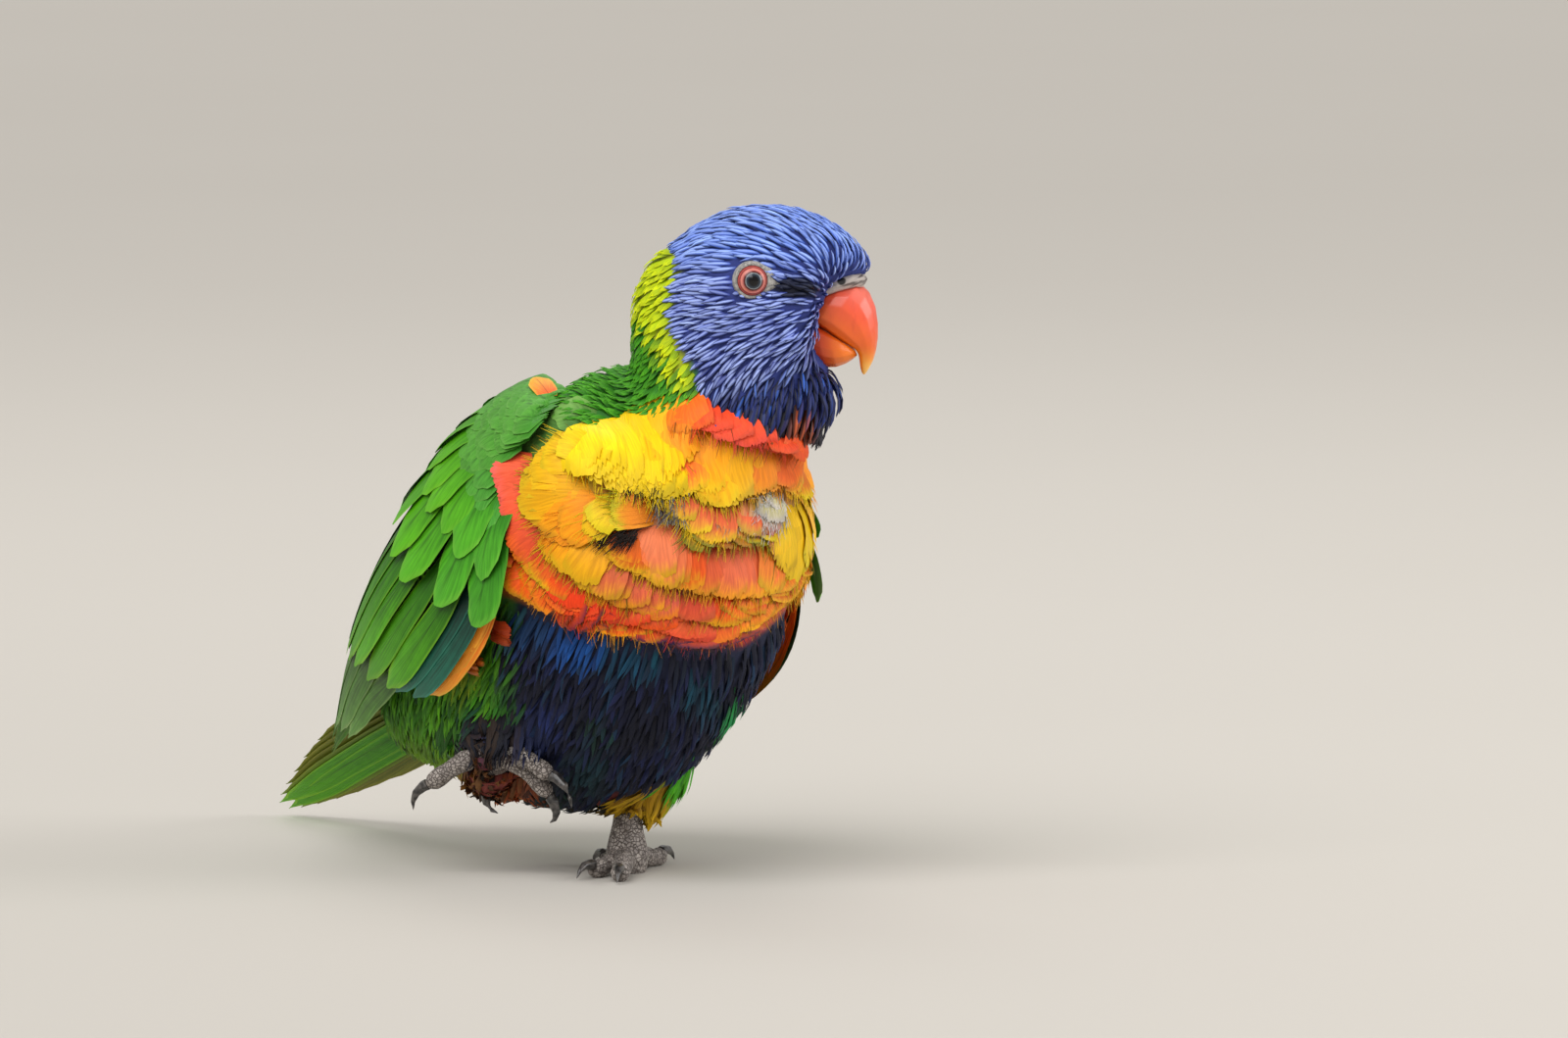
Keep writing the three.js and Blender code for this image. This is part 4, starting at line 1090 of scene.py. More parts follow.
# The collar and neck have fine, soft feathers like short hair, lime over the nape and green below it.
NECK_COAT = {
    "spacing": 1.3, "length": (5.6, 0.6), "width": (1.5, 0.2), "rows": 4, "stray": 0.16, "columns": 4,
    "outline": [(0, 0.7), (0.5, 1), (0.85, 0.7), (1, 0.2)], "thick": 0.24, "rise": (-0.5, 1.2), "camber": 0.2,
    "round": 0.12, "ragged": 0.4, "roll": 0.1, "uneven": 0.25,
}
TAIL_ROOT = place([-104, 0, 22])


def towards_tail(points, normals):
    return unit(TAIL_ROOT - points)


def down_neck(points, normals):
    """The neck's lie: off the head, then down onto the back and breast."""
    _, _, height = head_frame(points)
    high = smoothstep(height, 108, 130)[:, None]
    back = unit(towards_tail(points, normals) + np.array([0, 0, -0.7]))
    return unit(back * (1 - 0.4 * high) + away_from_bill(points, normals) * 0.4 * high)


def on_neck(points, normals):
    return (mask_share(points) < 0.6) & (neck_share(points) > 0.5) & (breast_share(points) < 0.5)


def laid(roots, lie, coat, rng):
    """Paths from the roots along the lie, with their normals and widths. coat has the mean and the spread of
    length and width, the rows, and how far the feathers stray and run free of the skin."""
    lengths, widths = (coat[key][0] + rng.normal(0, coat[key][1], len(roots)) for key in ("length", "width"))
    rows, stray, free = coat["rows"], coat["stray"], coat.get("free", 0)
    return *follow(ground, roots, lie, lengths, rows, rng, stray, free), widths


rng = np.random.default_rng(12)
roots, _ = ground.scatter(on_neck, NECK_COAT["spacing"], rng)
paths, normals, widths = laid(roots, down_neck, NECK_COAT, rng)
over_breast = (breast_share(paths[:, -1]) > 0.2) & (picture_frame(roots)[0] > 22)
roots, paths, normals, widths = (found[~over_breast] for found in (roots, paths, normals, widths))
lime = lime_share(paths[:, 3] + rng.normal(0, 1.1, roots.shape) * MM)
base = blend("2a7410", "a8c000", lime)
ends = blend("52a61e", "d6e20c", lime)
colours = coloured(rng, (0.14, 0.1, 0.2), base, ends, base)
downy = vane_material("soft_neck_feathers", 5, 0.5, depth=0.4, rough=0.6, spread=(0.3, 0.95))
add_coat(
    "neck_feathers", "collar_plumage", downy, HEAD_CENTRE, (0, 0, 1), roots, paths, normals, widths,
    NECK_COAT, colours, rng,
)


# The mantle and rump between the wings have broad, smooth green feathers with rounded ends, laid like tiles.
TILE = [(0, 0.6), (0.35, 0.95), (0.75, 1), (0.93, 0.86), (1, 0.62)]
MANTLE_COAT = {
    "spacing": 4, "length": (14, 1), "width": (11.5, 0.7), "rows": 6, "stray": 0.08, "columns": 6,
    "outline": TILE, "thick": 0.3, "rise": (-0.9, 0.9), "camber": 0.05, "round": 0.2, "ragged": 0.05,
    "roll": 0.02, "uneven": 0.1,
}
# The middle of the body and the line along it, which the coats below the neck are unwrapped round
BODY = place([-20, 0, 60]), place([60, 0, 90]) - place([-90, 0, 30])


def plumage(points):
    """Whether points are on the body below the neck."""
    return neck_share(points) < 0.5


def on_back(points, normals):
    forward, _, height = body_frame(points)
    behind = (normals[:, 1] * 0.75 + normals[:, 2] * 0.66 > 0.05) | (forward < -70)
    lowest = 38 - 0.35 * (forward + 60) + 25 * smoothstep(forward, -50, -40)
    return plumage(points) & (breast_share(points) < 0.4) & behind & (height > lowest)


rng = np.random.default_rng(13)
roots, _ = ground.scatter(on_back, MANTLE_COAT["spacing"], rng)
roots = roots[bare_of(roots, ["wing_left", "wing_right"], 2)]
paths, normals, widths = laid(roots, towards_tail, MANTLE_COAT, rng)
grey = smoothstep(body_frame(roots)[2], 84, 104)
base = blend("2f7a06", "4d7c34", grey)
ends = blend("58a80c", "6c9c48", grey)
rims = blend("86c82c", "84b452", grey)
smooth = vane_material("smooth_green_feathers", 9, 0.9, depth=0.25, spread=(0.2, 0.9), rim=0.3, shaft=0.3)
add_coat(
    "mantle_feathers", "green_plumage", smooth, *BODY, roots, paths, normals, widths, MANTLE_COAT,
    coloured(rng, (0.08, 0.08, 0.1), base, ends, rims), rng, ground,
)


# The belly, flanks and vent have loose, hairy tufts: near-black blue below the breast with brighter blue and
# teal next to it, green on the flanks, and olive under the tail. Tufts that are rooted together are of one
# lightness. The patches that the near side shows are given across and up, with their reach and colour.
TUFT = [(0, 0.7), (0.45, 1), (0.75, 0.7), (1, 0.1)]
BELLY_COAT = {
    "spacing": 1.55, "length": (9.5, 1.4), "width": (1.25, 0.18), "rows": 4, "stray": 0.14, "free": 0.25,
    "columns": 2, "outline": TUFT, "thick": 0.2, "rise": (-0.9, 1.6), "camber": 0.25, "roll": 0.15,
    "uneven": 0.45,
}
CLUMP = 4.5
BELLY_SPOTS = [
    (-13.5, 54, 8, "14407e"), (-21.5, 56, 7, "1a4476"), (-9, 52.5, 6.5, "0f4a94"), (0, 51, 8, "0b4560"),
    (6, 49, 5, "0a4458"), (16, 40, 5.5, "0c3a4c"), (-18, 35, 5, "18265a"), (-9, 23, 7, "0b2c34"),
    (-6, 32, 4, "0e2e28"), (25, 34, 5, "1f8a44"), (23, 29, 4.5, "2a8a1c"), (-32, 28, 6, "2a201c"),
    (-38, 20, 6, "9a6628"), (-33, 18, 4, "6a4020"), (-25, 21.5, 4.5, "9a4c24"), (-30, 23, 3.5, "2c1810"),
    (-18, 15.5, 8, "0e1c1a"), (-55, 27, 6, "1c4a14"), (-37, 43.5, 5, "83960f"), (-30, 43, 5, "3f7a10"),
    (-28, 38, 5, "2c6a12"), (-36, 34.5, 4, "123c34"),
]


def down_and_back(points, normals):
    """The belly's lie: down at the front and sides, and back underneath."""
    return unit(towards_tail(points, normals) + np.array([0, 0, -0.95]))


def on_belly(points, normals):
    return plumage(points) & (breast_share(points) < 0.6) & ~on_back(points, normals)


rng = np.random.default_rng(14)
clumps, _ = ground.scatter(on_belly, CLUMP, rng)
roots, root_normals = ground.scatter(on_belly, BELLY_COAT["spacing"], rng)
off_feet = bare_of(roots, ["tarsus_left", "tarsus_right", "toe_right_3", "toe_right_4"], 0.4)
roots, root_normals = roots[off_feet], root_normals[off_feet]
paths, normals, widths = laid(roots, down_and_back, BELLY_COAT, rng)
off_leg = bare_of(paths[:, 3], ["thigh_left"], 7) | (paths[:, -1, 2] >= 25 * MM)
paths, normals, widths, root_normals = (found[off_leg] for found in (paths, normals, widths, root_normals))
roots, shown = paths[:, 0], paths[:, 3]
count = len(roots)
forward, _, height = body_frame(shown)
moved = shown + rng.normal(0, 1.0, shown.shape) * MM
across, up = picture_frame(moved)
navy = navy_share(moved)
pick = rng.random(count)
deep = blend("0d1126", "131b42", smoothstep(pick, 0.3, 1) * 0.9)
deep = blend(deep, "0d3c50", (pick > 0.93) * 0.4)
leafy = blend("35780a", "58a010", smoothstep(pick, 0.2, 1))
leafy = blend(leafy, "7d8f12", 0.6 * smoothstep(height, 34, 18) * smoothstep(forward, -15, -50))
base = blend(leafy, deep, navy)
near_side = smoothstep(root_normals @ AWAY, 0.6, 0.2)
for spot_across, spot_up, reach, code in BELLY_SPOTS:
    share = smoothstep(np.hypot(across - spot_across, up - spot_up), reach * 1.1, reach * 0.2) * near_side
    base = blend(base, code, 0.9 * share)
by_foot = (~bare_of(shown, ["thigh_right"], 5) & (height < 28)) * (pick * 0.4 + 0.6)
base = blend(base, "6a4420", by_foot * smoothstep(across, -20, -26))
owner = np.argmin(np.linalg.norm(roots[:, None] - clumps, axis=2), axis=1)
lightness = (1 + rng.normal(0, 0.13, len(clumps)))[owner, None]
lower = np.clip((clumps[owner] - roots) @ UPWARD / MM / CLUMP + 0.5, 0, 1)[:, None]
base = np.clip(base * lightness * (0.85 + 0.35 * lower), 0, 1)
ends, rims = np.minimum(base * 1.15 + 0.001, 1), np.minimum(base * 1.4 + 0.003, 1)
colours = coloured(rng, (0.06, 0.08, 0.08), base * 0.8, ends, rims)
hairy = vane_material("hairy_belly_tufts", 3, 0.1, depth=0.5, rough=0.65, relief=0.8, spread=(0.3, 1.0))
add_coat(
    "belly_tufts", "breast_plumage", hairy, *BODY, roots, paths, normals, widths, BELLY_COAT, colours, rng
)


# Round each leg the plumage hangs in longer tufts, like trousers: golden olive at the standing leg, with
# green spikes on its outer side, and orange brown and black round the drawn-up one.
TROUSER_VANE = {
    "columns": 4, "outline": TUFT, "thick": 0.24, "rise": (-0.6, 1.4), "camber": 0.25, "ragged": 0.2,
    "roll": 0.15, "uneven": 0.6,
}
# The tufts of each leg are rooted below a height and end at a level, which is lower by the last value of
# lower from its first place across to its second. They splay, and lean aside between two places across. The
# shades are for root and tip, by place across.
TROUSERS = [
    {"node": "thigh_left", "below": 34, "level": 9.5, "splay": 0.14, "lower": (1, 6, 3.5), "width": 2.2,
     "aside": (-6, -9),
     "shades": [(-4, "14150f", "221e12"), (-1, "6a4c0a", "94740e"), (2, "8a640a", "c49c12"),
                (12.5, "94700c", "d0a816"), (14, "24780a", "4fa818")]},
    {"node": "thigh_right", "below": 27, "level": 16, "splay": 0.1, "lower": (-32, -24, 2.5), "width": 1.6,
     "aside": (-30, -35),
     "shades": [(-42, "5a4418", "a07c3c"), (-38, "7c5020", "c89248"), (-35, "7c4c1e", "b87e3c"),
                (-33, "1c1310", "38241a"), (-30.5, "201410", "3c2418"), (-28.5, "7c3816", "b45e2a"),
                (-24, "7c3414", "a04e26"), (-21, "0c1816", "12302a")]},
]


def shades_across(shades, across):
    """The colours of roots and of tips at places across, between those of the shades."""
    stops = [shade[0] for shade in shades]
    for end in (1, 2):
        colours = np.array([paint(shade[end]) for shade in shades])
        yield np.stack([np.interp(across, stops, channel) for channel in colours.T], 1)


rng = np.random.default_rng(15)
for trouser in TROUSERS:
    leg = joined_copy([trouser["node"]])
    middle = np.mean([vert.co for vert in leg.verts], axis=0) * [1, 1, 0]
    tree = tree_of(leg)

    def on_trouser(points, normals):
        close = np.array([tree.find_nearest(point, 5 * MM)[0] is not None for point in points.tolist()])
        return close & (points[:, 2] < trouser["below"] * MM)

    def hanging(points, normals):
        out = unit((points - middle) * [1, 1, 0])
        aside = smoothstep(picture_frame(points)[0], *trouser["aside"])[:, None]
        return unit(out * trouser["splay"] - ACROSS * aside * 0.6 + [0, 0, -1.0])

    roots, _ = ground.scatter(on_trouser, 1.5, rng)
    count = len(roots)
    across, _ = picture_frame(roots + rng.normal(0, 0.6, roots.shape) * MM)
    first, last, by = trouser["lower"]
    level = trouser["level"] - by * smoothstep(across, first, last)
    lengths = np.clip(roots[:, 2] / MM - level + rng.normal(0, 1.3, count), 5, 15)
    paths, normals = follow(ground, roots, hanging, lengths, 5, rng, 0.1, free=0.8)
    base, ends = shades_across(trouser["shades"], across)
    colours = coloured(rng, (0.15, 0.15, 0.2), base, ends, ends)
    widths = trouser["width"] + rng.normal(0, 0.3, count)
    name = trouser["node"].replace("thigh", "trouser_tufts")
    add_coat(
        name, "thigh_plumage", hairy, *BODY, roots, paths, normals, widths, TROUSER_VANE, colours, rng
    )


# Loose belly feathers hang over the drawn-up foot and hide its shank and the roots of its toes. Their roots
# and ends are spread between limits across and up, as seen from the front right. They sweep a little aside
# and hang a little off what they cover.
DRAPE = {"count": 150, "across": (-43, -17), "from": (36, 41), "to": (22.5, 27.5), "sweep": -1.5, "off": 0.7}
cover_mesh = mesh_of(joined([skin_mesh, foot.data]), "cover")
cover = Ground(cover_mesh)
bpy.data.meshes.remove(cover_mesh)
rng = np.random.default_rng(16)
count = DRAPE["count"]
start_across = rng.uniform(*DRAPE["across"], count)
start_up = rng.uniform(*DRAPE["from"], count)
end_up = rng.uniform(*DRAPE["to"], count) + 0.25 * np.abs(start_across - np.mean(DRAPE["across"]))
share = np.linspace(0, 1, 6)
across = start_across[:, None] + (DRAPE["sweep"] + rng.normal(0, 0.7, (count, 1))) * share
up = start_up[:, None] * (1 - share) + end_up[:, None] * share
paths = cover.seen(across.ravel(), up.ravel()).reshape(count, 6, 3)
paths = paths - AWAY * DRAPE["off"] * share[:, None] * MM
paths[:, 1:-1] = (paths[:, :-2] + 2 * paths[:, 1:-1] + paths[:, 2:]) / 4
normals = unit(ground.nearest(paths)[1] - AWAY)
pick = rng.random(count)
base = blend("14151f", "2c211c", smoothstep(pick, 0.5, 0.7))
base = blend(base, "1d5208", smoothstep(start_across + rng.normal(0, 1, count), -36, -40))
base = blend(base, "151d3c", smoothstep(start_across, -27, -20))
colours = {"root": base, "tip": varied(base * 1.2, rng, 0.1), "mark": base}
widths = 1.7 + rng.normal(0, 0.2, count)
add_coat(
    "drape_over_foot", "breast_plumage", hairy, *BODY, paths[:, 0], paths, normals, widths, BELLY_COAT,
    colours, rng,
)


# The breast has the largest body feathers: broad fans with combed ends, ruffled and parted as after preening.
# They lie over each other in bands, and those next to a wing spread over its edge. The far side has the same
# feathers in even tiers.
FAN = [(0, 0.45), (0.3, 0.85), (0.65, 1), (1, 1.0)]
BREAST_VANE = {
    "columns": 20, "outline": FAN, "thick": 0.3, "rise": (-0.9, 2.9), "camber": 0.06, "round": 0.14,
    "ragged": 0.1, "roll": 0.05, "uneven": 0.35, "lean": 0.06,
}
BREAST_ROWS = 6
DARK_FRINGE = "3c3814"
# Where across the feathers begin to lie over the wing and lie over it in full, and how far off they stand
OVER_WING = {"from": -22, "to": -27, "by": 4.5}
FAR_BREAST = {"spacing": 4.6, "length": (12.5, 1), "width": 9.6, "stray": 0.1}
# The bands begin with two small patches of the flank and go on from the lowest. Each has its feathers' width,
# and each feather has the places of its root and end, across and up as seen from the bird's front right, and
# their colours
BREAST_BANDS = [
    (3.4, [(-33, 57.3, -25, 55, "a83616", "c04418"), (-33, 54.8, -26.5, 52.6, "a03414", "b84a1c")]),
    (3.4, [(-40, 50, -32.5, 48, "c05014", "cc6a1a"), (-40, 48, -33.5, 45.8, "b85414", "c0701a")]),
    (9.6, [
        (-15, 63, -12, 58.5, "c8442a", "b8442c"), (-9, 62, -7, 57, "d8401c", "3a2238"),
        (-3, 61, -3, 55, "e0501a", "e89a10"), (2, 60, 2, 54, "e0501a", "e89a10"),
        (7, 60, 7, 53.5, "d84420", "2a2040"), (12, 59, 12, 52.5, "d04a38", "33284a"),
        (16, 58, 16, 52, "d04a38", "5a3048"), (22, 58, 23, 52, "d04a38", "33284a"),
        (27, 60, 29, 55, "d0602a", "8a3a48"),
    ]),
    (9.6, [
        (-26, 76, -31, 72, "ea5a24", "e8a818"), (-22, 72, -29, 67, "f05a1c", "e6a010"),
        (-18, 70, -25, 65, "f05a1c", "e09a10"), (-15, 67, -20, 62.5, "e8601a", "e2860e"),
        (-12, 65, -14, 60.5, "e0501a", "f05a14"), (-9, 65, -9, 59, "e8381a", "e8481a"),
        (-5, 66, -6, 58, "d83a1a", "e8401a"), (-1, 65, -2, 58, "e0503a", "dc3410"),
        (4, 64, 4, 56.5, "e2523a", "e84c10"), (9, 63, 9, 56, "e0583c", "f05a10"),
        (14, 62, 13, 54, "dd5a40", "e4502e"), (18, 62, 18, 53, "dd5540", "e4482c"),
        (23, 62, 24, 54, "e86a1c", "e89a10"), (27, 63, 29, 57, "e87a18", "d8a010"),
        (30, 65, 34, 59, "d85a14", "d89012"), (34, 67, 37, 62, "c85a12", "d8a012"),
        (37, 70, 41, 66, "c8600f", "dca010"), (40, 73, 44, 70, "cc6a10", "e0b018"),
    ]),
    (9.6, [
        (-20, 92, -30, 92, "ef5a4c", "f0645a"), (-19, 89, -29, 88, "ee584a", "ee6052"),
        (-19, 86, -28, 83, "ea5648", "ea5c4c"), (-18, 83, -27, 78, "e4543e", "e8502c"),
        (-17, 79, -26, 74, "e0503a", "e87a14"), (-15, 76, -23, 69, "e25a30", "dcae08"),
        (-14, 73, -19, 66, "e65a1a", "dcaa08"), (-11, 71, -15, 62, "ec3c12", "ea4010"),
        (-9, 69, -11, 59, "ea3c10", "ec4410"), (-7, 68, -8, 58, "d8881a", "c87a14"),
    ]),
    (9.6, [
        (-11, 81, -18, 71, "ee9010", "dcaa08"), (-8, 80, -14, 69, "ee9a10", "d8a808"),
        (-5, 79, -11, 67, "e8a010", "d8a808"), (-3, 77, -8, 64, "d8704a", "d8a408"),
        (-1, 74, -4, 63, "d05c4c", "e09a10"), (1, 72, -1, 61, "d05a50", "e8940f"),
        (4, 69, 3, 60, "d4584e", "e69a10"), (8, 68, 7, 58, "c65258", "e88010"),
        (12, 67, 11, 58, "b04a60", "e2560f"), (15, 66, 15, 58, "c8443a", "dc5a30"),
        (19, 66, 18, 57, "e04a12", "d89010"), (23, 66, 23, 57, "dc4410", "d8a010"),
        (27, 66, 27, 59, "d8500f", "d8960f"), (30, 67, 32, 61, "d8600f", "e0a010"),
        (34, 69, 36, 64, "d8700f", "dca40e"),
    ]),
    (9.6, [
        (3, 79, -1, 71, "d05a1a", "dca80c"), (5, 78, 2, 69, "d0561a", "d8a00c"),
        (8, 81, 6, 67, "e07464", "dca40a"), (10, 81, 9, 65, "e2705c", "d8a00a"),
        (13, 79, 12, 65, "d8501c", "d88a10"), (16, 77, 15, 65, "d6502a", "c88a10"),
        (19, 76, 19, 64, "d05a4c", "d88a10"), (23, 76, 23, 63, "d05e50", "e8960f"),
        (27, 76, 27, 63, "dc6048", "e8980c"), (30, 77, 31, 63, "e8683c", "dca40c"),
        (33, 79, 34, 65, "f08c20", "e8b010"),
    ]),
    (8, [
        (34, 86, 35, 72, "d8b00c", "e0ac08"), (36, 86, 37, 67, "dcae04", "d8b404"),
        (38, 86, 39, 67, "e0b404", "dcb800"), (40, 86, 42, 71, "dcb808", "c8c00c"),
    ]),
    (8, [
        (14, 89, 11, 81, "cc5c48", "d4b010"), (15, 88, 14, 79, "cf5c48", "d8b80c"),
        (18, 88, 17, 76, "cf5c4a", "dcb80a"), (21, 87, 21, 76, "d05c48", "dcae10"),
        (24, 87, 24, 76, "d25a46", "c8a020"), (27, 87, 28, 77, "d45e4e", "b09028"),
        (30, 88, 31, 77, "d09c90", "c8645a"), (32, 89, 33, 80, "b8b0a8", "b4aca6"),
        (34, 89, 35, 83, "c4bcb4", "c0b8b0"),
    ]),
    (6, [
        (17, 80, 15, 75, "a87a1c", "7c7a1c"), (20, 79, 20, 75, "b8721a", "8a8418"),
        (24, 79, 24, 75, "c0581a", "b0541a"), (27, 79, 28, 75, "b8941a", "8a8a18"),
        (30, 80, 32, 76, "d0b018", "c0a810"),
    ]),
    (9.6, [
        (5, 99, 5, 86, "f0c800", "d8b800"), (8, 100, 9, 86, "f0c400", "d0b000"),
        (11, 103, 11, 86, "ecb800", "d4b404"), (14, 102, 14, 87, "f06040", "dcb808"),
        (16, 103, 17, 88, "f09010", "e4b80c"), (19, 103, 20, 84, "f0a010", "d8b40a"),
        (22, 102, 23, 84, "eca808", "d0ac10"), (26, 101, 27, 85, "e49c08", "d0a010"),
        (29, 99, 29, 86, "dc8410", "cc9014"), (32, 98, 32, 87, "d8700f", "d88a10"),
        (35, 96, 36, 88, "d85a10", "d8780f"), (38, 97, 39, 87, "d8640f", "dcb00a"),
        (40, 96, 41, 85, "d8700f", "e0c404"),
    ]),
    (8, [
        (13, 110, 14, 101, "f48018", "f08a18"), (16, 109, 17, 101.5, "f05028", "f0601c"),
        (20, 107, 20, 100.5, "f04830", "ee4c30"), (23, 106, 24, 99.5, "ee4c38", "e85038"),
        (26, 105, 27, 98, "ee5040", "e04c3c"), (29, 104, 31, 96.5, "e84a3a", "d84834"),
        (33, 102, 34, 96, "e04434", "d84a24"), (36, 101, 37, 95.5, "d84828", "d8501a"),
        (40, 101, 40, 95, "d84a20", "d8580f"),
    ]),
    (9.6, [
        (-6, 95, -15, 99, "f0c400", "e4c80c"), (-8, 94, -19, 97, "f0b800", "e8c410"),
        (-8, 91, -21, 94, "f0b400", "e8b810"), (-8, 90, -23, 91, "f0b000", "d8b010"),
        (-7, 88, -24, 87, "f0ae00", "d0b010"), (-6, 86, -23, 84, "f0a804", "e0a80c"),
        (-4, 85, -21, 80, "f0980c", "e8a010"), (-3, 84, -17, 78, "f08a10", "f09010"),
        (-1, 85, -12, 78, "e8980c", "ecac0c"), (1, 86, -8, 79, "dcb00c", "e0c80c"),
    ]),
    (4.2, [
        (8, 86.5, -3, 85, "e08030", "c8c010"), (8, 84, -4, 82.5, "e07828", "c4bc10"),
        (8, 81.5, -3, 80.5, "e08a30", "d0c414"),
    ]),
    (9.6, [
        (-11, 104, -9, 91, "fcdc00", "ecc400"), (-9, 105, -5, 90, "fcd800", "e8c400"),
        (-6, 105, -2, 88, "fcd800", "e0bc00"), (-3, 105, 1, 87, "fcd600", "dcb800"),
        (0, 108, 4, 86, "fcd400", "e0bc00"), (3, 110.5, 7, 88, "ffcc10", "ecc400"),
        (6, 111.5, 10, 90, "ffb41c", "ecb800"), (10, 111, 12, 94, "f89818", "ec9a10"),
    ]),
]
# How far a place strays from the band's line, and the share of blue that is left in the roots
BAND_STRAY, ROOT_BLUE = 0.35, 0.5


def banded(rng):
    """Roots, ends, widths and colours of the breast's listed feathers, with one more between each two."""
    made = []
    for width, band in BREAST_BANDS:
        spots = np.array([feather[:4] for feather in band], float)
        shades = np.array([[paint(feather[4]), paint(feather[5])] for feather in band])
        run = np.linspace(0, 1, 2 * len(band) - 1)
        spots = along(spots, run) + rng.normal(0, BAND_STRAY, (len(run), 4))
        shades = along(shades.reshape(len(band), -1), run).reshape(len(run), 2, 4)
        shades[:, 0, 2] *= ROOT_BLUE
        _, lifted = ground.nearest(ground.seen(spots[:, 2], spots[:, 3]))
        spots[:, 2] -= BREAST_VANE["rise"][1] * lifted @ ACROSS
        spots[:, 3] -= BREAST_VANE["rise"][1] * lifted @ UPWARD
        starts, stops = ground.seen(spots[:, 0], spots[:, 1]), ground.seen(spots[:, 2], spots[:, 3])
        made.append((starts, stops, np.full(len(run), width), shades[:, 0], shades[:, 1]))
    return tuple(np.concatenate(values) for values in zip(*made))


def on_far_breast(points, normals):
    return (breast_share(points) > 0.4) & (normals @ AWAY > -0.12)


def down_breast(points, normals):
    """The breast's lie on the far side."""
    return unit(np.array([0.1, 0.25, -1.0]) + 0 * points)


rng = np.random.default_rng(21)
roots, ends, widths, base, tips = banded(rng)
share = np.linspace(0, 1, BREAST_ROWS + 1)[:, None]
paths, normals = ground.nearest(roots[:, None] * (1 - share) + ends[:, None] * share)
over = OVER_WING["by"] * smoothstep(picture_frame(ends)[0], OVER_WING["from"], OVER_WING["to"])
paths = paths - AWAY * (over[:, None, None] * share) * MM
far_roots, _ = ground.scatter(on_far_breast, FAR_BREAST["spacing"], rng)
lengths = FAR_BREAST["length"][0] + rng.normal(0, FAR_BREAST["length"][1], len(far_roots))
far_paths, far_normals = follow(
    ground, far_roots, down_breast, lengths, BREAST_ROWS, rng, FAR_BREAST["stray"]
)
kept = (breast_share(far_paths[:, -1]) > 0.3) & bare_of(far_paths[:, -2], ["wing_left"], 2.5)
far_paths, far_normals = far_paths[kept], far_normals[kept]
base = np.concatenate([base, breast_colour(far_paths[:, 2], rng)])
tips = np.concatenate([tips, breast_colour(far_paths[:, -1], rng)])
paths, normals = np.concatenate([paths, far_paths]), np.concatenate([normals, far_normals])
count = len(paths)
widths = np.append(widths, np.full(len(far_paths), FAR_BREAST["width"])) * (1 + rng.normal(0, 0.09, count))
fringe = blend(tips, DARK_FRINGE, 0.55 * smoothstep(rng.random(count), 0.3, 0.9))
colours = coloured(rng, (0.05, 0.05, 0.1), base, tips, fringe)
fanned = vane_material(
    "fringed_breast_feathers", 11, 0.45, depth=0.32, relief=0.7, spread=(0.6, 1.1), rim=0.5, grain=0.35
)
add_coat(
    "breast_feathers", "breast_plumage", fanned, *BODY, paths[:, 0], paths, normals, widths, BREAST_VANE,
    colours, rng, ground,
)


# Where the breast feathers are parted, grey down shows between them as fine hairs, and in one place
# near-black hairs stand for the shade in a gap, as painted shade. Each place has its middle across and up,
# its half sizes, how many hairs, where they point and their two colours.
DOWN_HAIRS = [
    (4.5, 88, 4.0, 1.0, 60, (-0.4, -1), "2c2410", "4c3c18"),
    (10, 84.5, 3.4, 2.6, 110, (-0.3, -1), "3a3632", "9a948c"),
    (31.5, 83.5, 3.0, 3.6, 170, (-0.25, -1), "bcb6b0", "ece8e2"),
    # These near-black hairs are painted shade in the gap.
    (-0.5, 77.8, 3.4, 1.3, 90, (-0.8, -0.7), "120c0a", "2c1e18"),
    (24, 80, 5.5, 1.0, 50, (-0.1, -1), "7a5a3c", "c8b09c"),
]
DOWN_VANE = {"columns": 2, "outline": [(0, 1), (1, 0.2)], "thick": 0.16, "rise": (1.6, 3.2), "camber": 0.2,
             "roll": 0.2, "uneven": 0.4}
DOWN_WIDTH = 0.34
found = []
for middle_across, middle_up, half_across, half_up, number, lie, first, second in DOWN_HAIRS:
    across = middle_across + rng.uniform(-1, 1, number) * half_across
    up = middle_up + rng.uniform(-1, 1, number) * half_up
    aim = np.array(lie) + rng.normal(0, 0.3, (number, 2))
    reach = rng.uniform(2.0, 4.2, number)
    ends_across, ends_up = across + aim[:, 0] * reach, up + aim[:, 1] * reach
    share = np.linspace(0, 1, 4)[:, None]
    starts, stops = ground.seen(across, up), ground.seen(ends_across, ends_up)
    hairs = ground.nearest(starts[:, None] * (1 - share) + stops[:, None] * share)
    found.append((*hairs, blend(first, second, rng.random(number))))
hairs, hair_normals, shade = (np.concatenate(values) for values in zip(*found))
add_coat(
    "breast_down", "breast_plumage", fanned, *BODY, hairs[:, 0], hairs, hair_normals,
    np.full(len(hairs), DOWN_WIDTH), DOWN_VANE, {"root": shade * 0.8, "tip": shade, "mark": shade}, rng,
)


